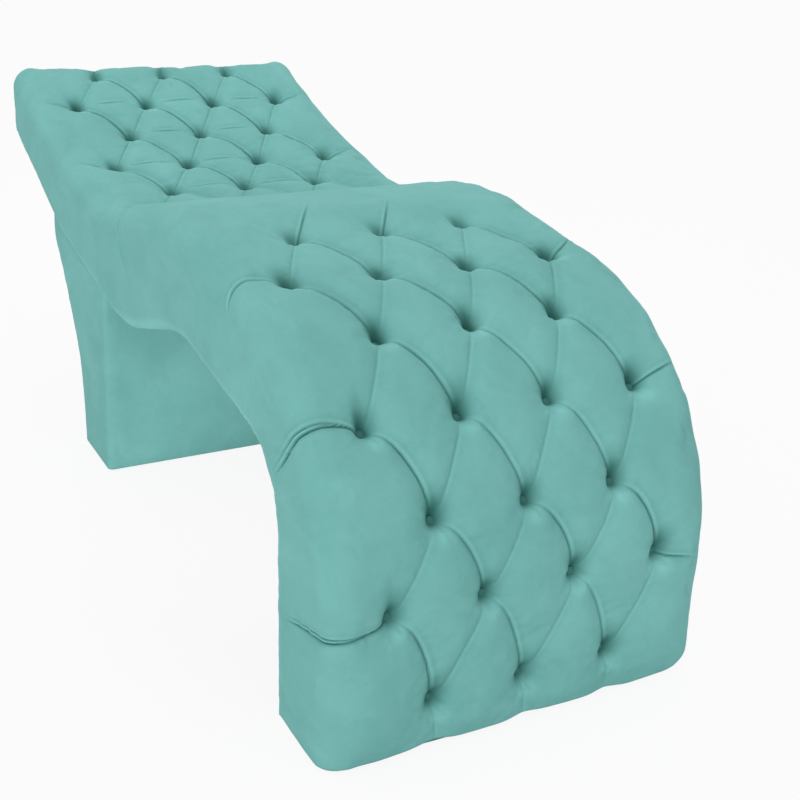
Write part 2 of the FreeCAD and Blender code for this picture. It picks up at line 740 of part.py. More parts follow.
sill_rear_face = corner(size("base_rear_floor") - bent_depth - size("sill_depth"), 0).x
for label, face in (("base_sill_front", board_face), ("base_sill_rear", sill_rear_face)):
    sill = doc.addObject("Part::Box", label)
    sill.setExpression("Length", BATTEN_LENGTH)
    sill.setExpression("Width", "Sizes.sill_depth")
    sill.setExpression("Height", "Sizes.sill_height")
    sill.setExpression("Placement.Base.x", "-Length / 2")
    sill.setExpression("Placement.Base.z", "Sizes.frame_foot")
    sill.Placement.Base.y = face
for side, sign in (("right", 1), ("left", -1)):
    post = doc.addObject("Part::Box", "base_post_" + side)
    post.setExpression("Length", "Sizes.base_post_width")
    post.setExpression("Width", "Sizes.base_post_width")
    post.setExpression("Height", "Sizes.base_post_height")
    post.setExpression("Placement.Base.z", "Sizes.frame_foot + Sizes.sill_height")
    inside = base_half - board_depth
    post.Placement.Base.x = inside - size("base_post_width") if sign > 0 else -inside
    post.Placement.Base.y = board_face


def glide(across, along):
    radius, height = size("glide_radius"), size("frame_foot")
    outline = ((0, 0), (radius - 2, 0), (radius, 2), (radius, height), (0, height))
    points = [Vector(r, 0, z) for r, z in outline]
    solid = Part.Face(Part.makePolygon(points + points[:1])).revolve(Vector(), Vector(0, 0, 1), 360)
    solid.translate(Vector(across, along, 0))
    return solid


def glides(label, rows):
    half = size("glide_spread") / 2
    return group(label, [glide(side, along) for along in rows for side in (-half, half)])


glides("foot_glides", [corner(deck_floor + size("foot_rail_depth") / 2, 0).x])
glides("base_glides", [face + size("sill_depth") / 2 for face in (board_face, sill_rear_face)])

NODES = (
    "velvet_cover", "leg_foam", "seat_foam", "back_foam", "flank_foam_left", "flank_foam_right",
    "head_end_foam", "tuft_buttons", "tuft_twines", "twine_washers", "leg_deck", "seat_deck", "back_deck",
    "side_panel_left", "side_panel_right", "foot_rail", "shin_rail", "knee_rail", "thigh_rail", "crest_rail",
    "seat_rail", "crease_rail", "back_rail", "head_rail", "head_end_board", "mount_rail_front",
    "mount_rail_rear", "underside_lining", "base_side_left", "base_side_right", "base_front_panel",
    "base_rear_panel", "base_post_left", "base_post_right", "base_sill_front", "base_sill_rear",
    "base_batten_front", "base_batten_rear", "base_wadding", "base_cover", "base_bolts",
    "base_bolt_washers", "base_nuts", "foot_glides", "base_glides",
)

doc.recompute()
items = {item.Label: item for item in doc.Objects}
for name in NODES:
    item = items[name]
    if "Invalid" in item.State or "Error" in item.State:
        raise RuntimeError("%s did not recompute: %s" % (name, item.State))
    if item.Shape.isNull() or not item.Shape.isValid() or not item.Shape.Solids:
        raise RuntimeError("%s has no valid solid" % name)
    item.Shape.exportStep("parts/%s.step" % name)
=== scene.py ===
"""Beauty treatment bed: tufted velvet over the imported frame, its finishes and a studio stage."""

import math
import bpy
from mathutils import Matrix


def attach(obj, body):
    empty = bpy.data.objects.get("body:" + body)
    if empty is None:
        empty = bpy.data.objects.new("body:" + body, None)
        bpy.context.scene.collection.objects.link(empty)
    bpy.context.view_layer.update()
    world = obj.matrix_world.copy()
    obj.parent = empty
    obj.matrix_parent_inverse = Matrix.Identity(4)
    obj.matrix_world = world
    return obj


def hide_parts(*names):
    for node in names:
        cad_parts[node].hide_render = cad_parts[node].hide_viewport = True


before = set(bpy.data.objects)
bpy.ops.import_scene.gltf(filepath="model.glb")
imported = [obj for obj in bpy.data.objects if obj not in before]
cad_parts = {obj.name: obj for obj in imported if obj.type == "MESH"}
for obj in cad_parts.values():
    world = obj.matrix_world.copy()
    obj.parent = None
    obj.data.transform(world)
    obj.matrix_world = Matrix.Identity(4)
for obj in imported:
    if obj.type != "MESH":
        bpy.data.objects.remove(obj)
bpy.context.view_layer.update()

from types import SimpleNamespace

import bpy
import numpy as np
from bpy.props import FloatProperty, FloatVectorProperty, IntProperty, PointerProperty
from mathutils import Matrix, Vector
from mathutils.kdtree import KDTree

bl_info = {
    "name": "Beauty treatment bed",
    "version": (1, 0, 0),
    "blender": (4, 5, 0),
    "location": "View3D > Sidebar > Bed",
    "description": "Lays tufted velvet over the frame of a curved treatment bed",
    "category": "Object",
}

# Spacing of the velvet's points, in metres: tufted skin, plain seat, and the coarser copy that swells.
SKIN_STEP = 0.0045
SEAT_STEP = 0.008
SWELL_STEP = 0.009
SWELL_FRAMES = 20

# No point of the velvet comes closer to the floor.
FLOOR_GAP = 0.0025

# How far each row of buttons lies off its even pitch, along the bed.
LEG_DRIFT = (0, 0.011, -0.004, -0.006, -0.006, -0.002, 0)
BACK_DRIFT = (0, 0.007, -0.002, 0.008, 0.012, 0.006)

# Depth of the funnels in the crease row and in the last rows, as a share of the full depth.
CREASE_ROW_SHARE = 0.6
LAST_ROW_SHARE = 0.8

# Level of painted shade and painted highlight in the velvet's colour, from 0 for darkest painted shade to 1
# for palest painted highlight.
UNSHADED_LEVEL = 0.70
# The buttons are darkened with painted shade to match the painted shade of their funnels.
BUTTON_PAINTED_SHADE = 0.26

# Share of white that the camera sees on the floor.
FLOOR_WHITE = 0.90


def length(name, description, default):
    return FloatProperty(name=name, description=description, default=default, unit="LENGTH",
                         subtype="DISTANCE")


def colour(name, description, default):
    return FloatVectorProperty(name=name, description=description, default=default, size=3,
                               subtype="COLOR", min=0.0, max=1.0)


def angle(name, description, degrees):
    return FloatProperty(name=name, description=description, default=math.radians(degrees),
                         subtype="ANGLE")


def power(name, description, default):
    return FloatProperty(name=name, description=description, default=default, unit="POWER")


class BedSizes(bpy.types.PropertyGroup):
    """Outline of the bed and of its base."""

    long: length("Length", "Foot front to head end", 1.76)
    wide: length("Width", "Flank to flank", 0.70)
    hem: length("Hem", "Hem above the floor", 0.003)
    shoulder: length("Shoulder", "Rounding of the long top edges", 0.045)
    edge: length("Lower edge", "Rounding of the velvet where it turns under", 0.008)
    corner: length("Foot corner", "Rounding of the right lower corner of the foot front", 0.036)
    foam: length("Padding", "Velvet and foam over the deck", 0.075)
    flank: length("Flank padding", "Velvet and foam on the side panels", 0.015)
    base_wide: length("Base width", "Flank to flank of the base", 0.688)
    base_front: length("Base front", "Front of the base behind the foot front", 1.086)
    base_edge: length("Base edge", "Rounding of the upright edges of the base", 0.012)
    base_swell: length("Base swell", "Most that a point of the base's velvet may move", 0.003)


class TuftSizes(bpy.types.PropertyGroup):
    """Buttons, funnels and folds of the tufting."""

    pitch: length("Pitch", "Button to button across the bed", 0.164)
    leg_start: length("First leg row", "Along the top line from the hem", 0.070)
    leg_pitch: length("Leg row pitch", "Row to row on the leg arch", 0.157)
    leg_rows: IntProperty(name="Leg rows", description="Rows on the leg arch", default=7)
    back_start: length("First back row", "Along the top line from the hem", 1.486)
    back_pitch: length("Back row pitch", "Row to row on the back", 0.1375)
    back_rows: IntProperty(name="Back rows", description="Rows on the back", default=6)
    depth: length("Funnel depth", "Velvet surface to the bed of a button", 0.0355)
    throat: length("Funnel throat", "Radius at half the depth", 0.0125)
    crease: length("Crease depth", "Sharp part of a fold", 0.0060)
    valley: length("Valley depth", "Soft part of a fold", 0.006)
    crown: length("Crown", "Pillow above the plain line", 0.002)
    bow: length("Bow", "How far the folds that fall to the right leave their button level", 0.047)
    button: length("Button", "Radius of a covered button", 0.0088)
    slack: length("Slack", "How far the velvet starts below its plain line before it swells", 0.005)
    swell: length("Swell", "Most that a point of the velvet may move as it swells", 0.010)


class BedColours(bpy.types.PropertyGroup):
    """Colours of the velvet and of what lies under it."""

    velvet: colour("Velvet", "Pile seen along its lay", (0.285, 0.675, 0.647))
    velvet_deep: colour("Deep velvet", "Pile seen against its lay", (0.210, 0.538, 0.513))
    # Colour of the painted shade that the velvet is darkened towards in funnels and folds.
    velvet_painted_shade: colour("Velvet shade", "Pile pressed into funnels and folds", (0.003, 0.080, 0.060))
    sheen: colour("Sheen", "Light caught by the tips of the pile", (0.45, 0.80, 0.76))
    lining: colour("Lining", "Non-woven cloth below the bed", (0.030, 0.033, 0.036))
    plywood: colour("Plywood", "Decks and panels", (0.52, 0.36, 0.20))
    pine: colour("Pine", "Rails, posts and battens", (0.60, 0.42, 0.22))
    steel: colour("Steel", "Bolts, washers and nuts", (0.60, 0.61, 0.62))
    glide: colour("Glides", "Moulded glides", (0.035, 0.035, 0.037))
    twine: colour("Twine", "Waxed tufting twine", (0.62, 0.56, 0.45))
    floor: colour("Floor", "Studio floor", (0.80, 0.80, 0.80))


class StageSizes(bpy.types.PropertyGroup):
    """Camera and lamps."""

    camera: FloatVectorProperty(
        name="Camera", description="Place of the camera", size=3, subtype="TRANSLATION", unit="LENGTH",
        default=(-1.0468, -2.2224, 1.2771))
    yaw: angle("Yaw", "Turn to the right of the length", 30.18)
    pitch: angle("Pitch", "Look down", 23.45)
    roll: angle("Roll", "Lean of the camera", 3.618)
    lens: FloatProperty(name="Lens", description="Focal length on a 36 mm sensor", default=57.82,
                        unit="CAMERA")
    sky: FloatProperty(name="Sky", description="Strength of the light from all round", default=0.77)
    key: power("Key", "Power of the overhead lamp", 26.0)
    fill: power("Fill", "Power of the side lamp", 182.0)
    front: power("Front", "Power of the lamp before the foot", 2.0)
    arch: power("Arch", "Power of the small lamp below the arch", 0.48)


class Line:
    """Straights and tangent bends in the Y-Z plane, by the length along it."""

    def __init__(self, corners, bends):
        corners = [np.array(c, float) for c in corners]
        self.parts = []
        self.middles = []
        self.length = 0.0
        start = corners[0]
        for before, corner, after, radius in zip(corners, corners[1:], corners[2:], bends):
            arrive = (corner - before) / np.linalg.norm(corner - before)
            leave = (after - corner) / np.linalg.norm(after - corner)
            turn = math.atan2(arrive[0] * leave[1] - arrive[1] * leave[0], arrive @ leave)
            tangent = radius * math.tan(abs(turn) / 2)
            self._add(start, arrive, np.linalg.norm(corner - arrive * tangent - start), 0.0)
            self.middles.append(self.length + radius * abs(turn) / 2)
            self._add(corner - arrive * tangent, arrive, radius * abs(turn),
                      math.copysign(1 / radius, turn))
            start = corner + leave * tangent
        leave = (corners[-1] - start) / np.linalg.norm(corners[-1] - start)
        self._add(start, leave, np.linalg.norm(corners[-1] - start), 0.0)

    def _add(self, point, direction, run, curvature):
        self.parts.append((self.length, *point, math.atan2(direction[1], direction[0]), curvature))
        self.length += run

    def at(self, stations):
        """Points of the line and its headings."""
        stations = np.asarray(stations, float)
        parts = np.array(self.parts)
        which = np.clip(np.searchsorted(parts[:, 0], stations, side="right") - 1, 0, len(parts) - 1)
        first, y, z, heading, curvature = parts[which].T
        run = stations - first
        end = heading + curvature * run
        straight = curvature == 0
        safe = np.where(straight, 1.0, curvature)
        y = y + np.where(straight, np.cos(heading) * run, (np.sin(end) - np.sin(heading)) / safe)
        z = z + np.where(straight, np.sin(heading) * run, (np.cos(heading) - np.cos(end)) / safe)
        return np.stack([y, z], -1), end

    def station_at(self, y):
        """Last station whose point has this Y."""
        low, high = 0.0, self.length + 0.1
        for _ in range(50):
            middle = (low + high) / 2
            if self.at(middle)[0][0] < y:
                low = middle
            else:
                high = middle
        return low


def bed_lines(sizes):
    """Top line and underside of the bed, and the rear line of its base."""
    front = -sizes.long / 2
    top = Line(
        [(front, sizes.hem), (front, 0.598), (front + 0.730, 0.685), (front + 1.094, 0.576),
         (front + 1.495, 0.662), (-front, 0.762)],
        (0.440, 0.750, 0.500, 1.500),
    )
    under = Line(
        [(front + 0.182, sizes.hem), (front + 0.208, 0.429), (front + 0.630, 0.488),
         (front + 0.935, 0.385), (front + 1.345, 0.450), (-front, 0.611)],
        (0.135, 0.300, 0.350, 0.360),
    )
    rear = Line(
        [(front + 1.259, sizes.hem), (front + 1.259, 0.200), (front + 1.450, 0.430),
         (front + 1.450, 0.611)],
        (0.520, 0.060),
    )
    return top, under, rear


def tuft_rows(tufts):
    """Rows of buttons on the legs and on the back: station along the top line, places across."""
    rows = []
    for first, pitch, count, numbers, drift in (
        (tufts.leg_start, tufts.leg_pitch, tufts.leg_rows, (3, 4), LEG_DRIFT),
        (tufts.back_start, tufts.back_pitch, tufts.back_rows, (4, 3), BACK_DRIFT),
    ):
        group = []
        for i in range(count):
            number = numbers[i % 2]
            station = first + pitch * i + (drift[i] if i < len(drift) else 0)
            group.append((station, [tufts.pitch * (k - (number - 1) / 2) for k in range(number)]))
        rows.append(group)
    return rows


def tuft_spots(tufts):
    """Every button: its place, its share of the full depth, if it is on the back or in a last row."""
    for rows in tuft_rows(tufts):
        on_back = rows[0][0] == tufts.back_start
        for number, (station, places) in enumerate(rows):
            last = number == len(rows) - 1
            share = LAST_ROW_SHARE if last else 1.0
            if on_back and number == 0:
                share = CREASE_ROW_SHARE
            for place in places:
                yield SimpleNamespace(station=station, place=place, share=share, on_back=on_back,
                                      last=last)


def eased(share):
    """Smooth step of values from 0 to 1."""
    return share * share * (3 - 2 * share)


def ripple(a, b, seed, waves, shortest, longest):
    """Even undulation from a few seeded waves, about one high."""
    rng = np.random.default_rng(seed)
    total = np.zeros_like(a)
    for _ in range(waves):
        turn = rng.uniform(0, math.pi)
        run = rng.uniform(shortest, longest)
        phase = rng.uniform(0, math.tau)
        total += np.sin((a * math.cos(turn) + b * math.sin(turn)) * math.tau / run + phase)
    return total / math.sqrt(waves)


class Fold:
    """One fold of the velvet on a bent path of (across, along) points."""

    # Middle and rounding of the sharp part, place and width of the lip beside it, width of the valley.
    MIDDLE = 0.0015
    ROUND = 0.0008
    LIP_PLACE = 0.0030
    LIP_WIDTH = 0.0024
    VALLEY_WIDTH = 0.022

    def __init__(self, path, crease, valley, upper=0.004, lower=0.006, fade_in=0.0, fade_out=0.0,
                 lip=0.0, shade=1.0, broad=1.0):
        self.path = self._bend(np.array(path, float))
        self.crease = crease
        self.valley = valley
        self.upper = upper
        self.lower = lower
        self.fade_in = fade_in
        self.fade_out = fade_out
        self.lip = lip
        self.shade = shade
        self.broad = broad

    @staticmethod
    def _bend(points, steps=20):
        t = np.linspace(0, 1, steps + 1)[:, None]
        if len(points) == 2:
            return points[0] * (1 - t) + points[1] * t
        if len(points) == 3:
            return points[0] * (1 - t) ** 2 + points[1] * 2 * t * (1 - t) + points[2] * t ** 2
        return (points[0] * (1 - t) ** 3 + points[1] * 3 * t * (1 - t) ** 2
                + points[2] * 3 * t ** 2 * (1 - t) + points[3] * t ** 3)

    def press(self, across, along, reach=0.07):
        """Points near the fold: indices, crease, valley, distance to the upper side and strength."""
        low = self.path.min(0) - reach * self.broad
        high = self.path.max(0) + reach * self.broad
        near = np.flatnonzero((across > low[0]) & (across < high[0])
                              & (along > low[1]) & (along < high[1]))
        spots = np.stack([across[near], along[near]], -1)
        best = np.full(len(near), np.inf)
        side = np.ones(len(near))
        share = np.zeros(len(near))
        count = len(self.path) - 1
        for k in range(count):
            start, end = self.path[k], self.path[k + 1]
            way = end - start
            run = way @ way
            t = np.clip(((spots - start) @ way) / run, 0, 1)
            off = spots - start - t[:, None] * way
            gap = np.hypot(off[:, 0], off[:, 1])
            closer = gap < best
            best = np.where(closer, gap, best)
            side = np.where(closer, np.sign(way[0] * off[:, 1] - way[1] * off[:, 0]), side)
            share = np.where(closer, (k + t) / count, share)
        best = best / self.broad
        strength = np.ones(len(near))
        if self.fade_in:
            strength = strength * np.clip(share / self.fade_in, 0, 1) ** 0.9
        if self.fade_out:
            strength = strength * np.clip((1 - share) / self.fade_out, 0, 1) ** 0.9
        away = best * side
        width = np.where(away > -self.MIDDLE, self.upper, self.lower)
        rounded = np.sqrt((away + self.MIDDLE) ** 2 + self.ROUND ** 2) - self.ROUND
        crease = self.crease * strength * np.exp(-rounded / width)
        lip = np.exp(-((away - self.LIP_PLACE) / self.LIP_WIDTH) ** 2)
        crease = crease - self.lip * strength * lip
        valley = self.valley * (0.5 + 0.5 * strength) * np.exp(-(best / self.VALLEY_WIDTH) ** 2)
        return near, crease, valley, away, strength


def diamond_folds(tufts, rows, shade, rng):
    """Button to button: bowed folds that fall to the right, faint ones that fall to the left."""
    folds = []
    for (station, places), (following, nexts) in zip(rows, rows[1:]):
        for a in places:
            for b in nexts:
                if abs(a - b) > 0.6 * tufts.pitch:
                    continue
                vary = rng.uniform(0.75, 1.2)
                if b < a:
                    swing = tufts.bow * vary
                    path = [(b, following), (b + swing, following - 0.15 * swing),
                            (a - 0.1 * swing, station + 1.1 * swing), (a, station)]
                    folds.append(Fold(path, tufts.crease * vary, tufts.valley, 0.0030, 0.0042,
                                      fade_in=0.38, fade_out=0.22, lip=0.0011, shade=shade))
                else:
                    swing = rng.uniform(-0.004, 0.004)
                    bend = ((a + b) / 2 + swing, (station + following) / 2)
                    path = [(b, following), bend, (a, station)]
                    folds.append(Fold(path, tufts.crease * 0.34 * vary, tufts.valley * 0.8,
                                      0.0028, 0.0030, fade_in=0.25, fade_out=0.3, lip=0.0003,
                                      shade=shade))
    return folds


def edge_folds(tufts, leg, back):
    """From the outer buttons over the long edges, longest on the left of the legs."""
    over_edge = {
        1: ((-0.049, -0.008), (-0.110, -0.012), (-0.250, -0.008)),
        3: ((-0.036, 0.026), (-0.100, 0.028), (-0.215, -0.020)),
        5: ((-0.016, 0.040), (-0.074, 0.042), (-0.134, -0.006)),
    }
    to_edge = {
        1: ((0.031, -0.006), (0.075, -0.013)),
        3: ((0.047, 0.022), (0.101, 0.029)),
        5: ((0.032, 0.017), (0.089, 0.058)),
    }
    twin_rows = (1, 3)
    folds = []
    for number in over_edge:
        station, places = leg[number]
        steps = [(places[0], station)]
        steps += [(places[0] + x, station + y) for x, y in over_edge[number]]
        folds.append(Fold(steps[::-1], tufts.crease * 1.2, tufts.valley * 0.3, 0.0030, 0.0042,
                          fade_in=0.15, fade_out=0.05, lip=0.0014, shade=1.35))
        if number in twin_rows:
            twin = [(x, y + 0.012 * k / 3) for k, (x, y) in enumerate(steps)]
            folds.append(Fold(twin[::-1], tufts.crease * 0.7, 0.0, 0.003, 0.003,
                              fade_in=0.3, fade_out=0.3, lip=0.0012, shade=1.4))
        steps = [(places[-1], station)]
        steps += [(places[-1] + x, station + y) for x, y in to_edge[number]]
        folds.append(Fold(steps, tufts.crease * 0.9, tufts.valley * 0.2, 0.003, 0.004,
                          fade_out=0.4, lip=0.0012, shade=1.3))
    for number in (0, 2, 4):
        station, places = back[number]
        for side in (-1, 1):
            start = side * places[-1]
            steps = [(start, station), (start + side * 0.035, station + 0.012),
                     (start + side * 0.075, station + 0.018)]
            folds.append(Fold(steps, tufts.crease * 0.7, tufts.valley * 0.3, 0.003, 0.004,
                              fade_out=0.5, lip=0.001, shade=1.2))
    return folds


def end_folds(tufts, leg, back):
    """From the first row to the hem, from the last leg row up the seat, from the last row on."""
    folds = []
    station, places = leg[0]
    for across in places:
        folds.append(Fold([(across, station), (across + 0.003, -0.01)],
                          tufts.crease * 0.25, tufts.valley * 0.4, fade_out=0.5))
    station, places = leg[-1]
    for across, rise in zip(places, (0.150, 0.125)):
        folds.append(Fold([(across, station), (across + 0.60 * rise, station + rise)],
                          tufts.crease * 0.8, tufts.valley * 0.2, 0.0028, 0.0036,
                          fade_out=0.5, lip=0.001, shade=1.3))
    station, places = back[-1]
    for across in places:
        folds.append(Fold([(across, station), (across, station + 0.07)],
                          tufts.crease * 0.3, tufts.valley * 0.2, fade_out=0.8))
    return folds


def cross_folds(tufts, back, rng):
    """Short folds across the back between two buttons of a row."""
    folds = []
    for station, places in back[1:-1]:
        for a, b in zip(places, places[1:]):
            if rng.uniform() < 0.85:
                middle = (a + b) / 2
                lift = station + rng.uniform(0.006, 0.016)
                reach = rng.uniform(0.040, 0.062)
                path = [(middle - reach, lift - 0.003), (middle, lift + 0.006), (middle + reach, lift)]
                folds.append(Fold(path, tufts.crease * 0.65, 0.0, 0.0035, 0.005,
                                  fade_in=0.4, fade_out=0.4, lip=0.0012, shade=1.2))
    return folds


def crease_folds(tufts, back, half):
    """Broad folds that run down the flanks from the crease of the seat."""
    crease = back[0][0] - 0.022
    folds = []
    for side in (-1, 1):
        steps = [(side * (half - 0.01), crease - 0.010), (side * (half + 0.030), crease + 0.022),
                 (side * (half + 0.062), crease + 0.012), (side * (half + 0.125), crease - 0.034)]
        folds.append(Fold(steps, tufts.crease, tufts.valley * 0.5, 0.0032, 0.0045,
                          fade_in=0.1, fade_out=0.4, lip=0.0024, shade=1.3, broad=1.7))
    return folds


def tuft_folds(tufts, half):
    """All folds: of the diamonds, over the edges, down to the hem, up the seat and in the crease."""
    rng = np.random.default_rng(7)
    leg, back = tuft_rows(tufts)
    folds = diamond_folds(tufts, leg, 1.0, rng)
    folds += diamond_folds(tufts, back, 1.4, rng)
    folds += edge_folds(tufts, leg, back)
    folds += end_folds(tufts, leg, back)
    folds += cross_folds(tufts, back, rng)
    return folds + crease_folds(tufts, back, half)


def tufted_zone(across, along, tufts, half):
    """1 where the velvet is tufted, fading to 0 on the plain seat and at the long edges."""
    leg, back = tuft_rows(tufts)
    fade = 0.09
    legs = np.clip((leg[-1][0] + 0.11 - along) / fade, 0, 1)
    backs = np.clip((along - back[0][0] + 0.07) / fade, 0, 1)
    zone = np.maximum(legs, backs)
    return eased(zone) * np.clip((half + 0.01 - np.abs(across)) / 0.06, 0, 1)


def tuft_depth(across, along, tufts, half):
    """How far the velvet lies below its plain line at places of the flat cloth."""
    crease = np.zeros_like(across)
    valley = np.zeros_like(across)
    nearest = np.full_like(across, 1.0)
    for fold in tuft_folds(tufts, half):
        near, sharp, soft, away, _ = fold.press(across, along)
        crease[near] = np.where(np.abs(sharp) > np.abs(crease[near]), sharp, crease[near])
        valley[near] = np.maximum(valley[near], soft)
        nearest[near] = np.minimum(nearest[near], np.abs(away))
    funnel = np.zeros_like(across)
    gather = np.zeros_like(across)
    rng = np.random.default_rng(21)
    for spot in tuft_spots(tufts):
        ramp = 0.95 if spot.on_back and spot.last else 0.55
        dx, dy = across - spot.place, along - spot.station
        gap = np.hypot(dx * 1.05, np.where(dy > 0, dy * ramp, dy * 1.5))
        throat = tufts.throat * rng.uniform(0.94, 1.08)
        funnel = np.maximum(funnel, spot.share * tufts.depth / (1 + (gap / throat) ** 1.9))
        turn = np.arctan2(dy, dx)
        rays = rng.integers(6, 9)
        wave = np.cos(turn * rays + rng.uniform(0, math.tau))
        wave = wave + 0.6 * np.cos(turn * (rays + 3) + rng.uniform(0, 6))
        gather += 0.0007 * wave * np.exp(-((gap - 0.030) / 0.014) ** 2)
    zone = tufted_zone(across, along, tufts, half)
    crown = tufts.crown * zone * (1 - np.exp(-(nearest / 0.028) ** 2))
    rest = 1 - np.clip(funnel / tufts.depth, 0, 1)
    undulation = 0.0011 * ripple(across, along, seed=3, waves=9, shortest=0.07, longest=0.26)
    undulation += 0.00015 * ripple(across, along, seed=5, waves=12, shortest=0.025, longest=0.06)
    pulled = funnel + rest * (crease + valley) + tufts.slack * zone
    return pulled - crown + gather * zone + undulation


def tuft_painted_shade(across, along, lowest, tufts, half):
    """Painted shade and highlights in the velvet's colour: dark in folds and funnels, pale on lips, below
    buttons and low flank edges.
    """
    shade = np.ones_like(across)
    # Painted highlight along the lower edge of the flanks.
    light = 0.65 * np.clip((lowest - 0.87) / 0.08, 0, 1)
    # Painted shade along each fold line, and a painted highlight on its lip.
    for fold in tuft_folds(tufts, half):
        near, _, _, away, strength = fold.press(across, along, 0.014)
        weight = np.clip(strength * fold.shade * fold.crease / tufts.crease, 0, 1.4)
        line = 0.66 * np.exp(-((away + 0.0018) / 0.0017) ** 2)
        dark = line + 0.08 * np.exp(-((away - 0.0075) / 0.0045) ** 2)
        shade[near] = np.minimum(shade[near], 1 - weight * dark)
        lit = np.exp(-((away - 0.0022) / (0.0013 + 0.6 * fold.lip)) ** 2)
        light[near] = np.maximum(light[near], np.minimum(weight * 0.6, 0.8) * lit)
    # Painted shade in each funnel, darkest just above its button, and a painted highlight below it.
    rng = np.random.default_rng(31)
    for spot in tuft_spots(tufts):
        share = spot.share ** 2.5
        tall = 0.85 if spot.on_back else 1.0
        dx, dy = across - spot.place, along - spot.station
        rise = np.maximum(dy, 0) / tall
        under = np.exp(-(np.minimum(dy, 0) / 0.0065) ** 2)
        full = 0.016
        for middle, wide, end, dark in (
            (0.003, 0.0145 + 0.11 * rise, rng.uniform(0.058, 0.080), 0.54),
            (-0.001, 0.0085 + 0.04 * rise, rng.uniform(0.038, 0.054), 0.62),
        ):
            fade = np.clip((rise - full) / (end - full), 0, 1)
            pocket_shade = under * np.exp(-np.abs((dx - middle) / wide) ** 2.2) * (1 - eased(fade))
            shade = shade * (1 - dark * rng.uniform(0.85, 1.10) * share * pocket_shade)
        highlight_patch = np.exp(-((dx - 0.010) / 0.018) ** 2 - ((dy + 0.022) / 0.013) ** 2)
        light = np.maximum(light, 0.55 * share * highlight_patch)
    return np.clip(UNSHADED_LEVEL * shade + 0.30 * light * shade, 0, 1)


def new_object(name, points, faces):
    mesh = bpy.data.meshes.new(name)
    mesh.from_pydata([], [], [])
    mesh.vertices.add(len(points))
    mesh.vertices.foreach_set("co", np.asarray(points, np.float32).ravel())
    loops = np.concatenate([np.asarray(f, np.int32).ravel() for f in faces])
    sizes = np.concatenate([np.full(len(f), np.asarray(f).shape[1], np.int32) for f in faces])
    starts = np.concatenate([[0], np.cumsum(sizes)[:-1]]).astype(np.int32)
    mesh.loops.add(len(loops))
    mesh.loops.foreach_set("vertex_index", loops)
    mesh.polygons.add(len(sizes))
    mesh.polygons.foreach_set("loop_start", starts)
    mesh.update(calc_edges=True)
    mesh.validate()
    item = bpy.data.objects.new(name, mesh)
    bpy.context.scene.collection.objects.link(item)
    return item


def face_normals(points, quads):
    """Unit vertex normals of a mesh of quads (a repeated index makes a triangle)."""
    a, b, c, d = (points[quads[:, k]] for k in range(4))
    face = np.cross(c - a, d - b)
    total = np.zeros_like(points)
    for k in range(4):
        np.add.at(total, quads[:, k], face)
    size = np.linalg.norm(total, axis=1, keepdims=True)
    return total / np.where(size > 0, size, 1)


def grid_quads(index):
    """Quads of a grid of vertex numbers, row by row."""
    corners = index[:-1, :-1], index[:-1, 1:], index[1:, 1:], index[1:, :-1]
    return np.stack(corners, -1).reshape(-1, 4)


def spread_rows(spans):
    """Stations with a spacing of their own in each span."""
    found = [spans[0][0]]
    for start, end, step in spans:
        found.extend(np.linspace(start, end, max(2, int(round((end - start) / step)) + 1))[1:])
    return np.array(found)


def point_values(mesh, name):
    values = np.zeros(len(mesh.vertices), np.float32)
    mesh.attributes[name].data.foreach_get("value", values)
    return values.astype(float)


def store_values(mesh, name, values):
    mesh.attributes.new(name, "FLOAT", "POINT").data.foreach_set("value", values.astype(np.float32))


def face_corners(mesh):
    """Vertex at each corner of the faces, and how many corners each face has."""
    corners = np.zeros(len(mesh.loops), np.int32)
    mesh.loops.foreach_get("vertex_index", corners)
    total = np.zeros(len(mesh.polygons), np.int32)
    mesh.polygons.foreach_get("loop_total", total)
    return corners, total


def smooth_shade(item):
    item.data.polygons.foreach_set("use_smooth", np.ones(len(item.data.polygons), bool))


def cloth_map(item, flat):
    """UV map that holds the flat cloth in metres, across and along."""
    layer = item.data.uv_layers.new(name="Cloth")
    corners, _ = face_corners(item.data)
    layer.data.foreach_set("uv", np.asarray(flat, np.float32)[corners].ravel())


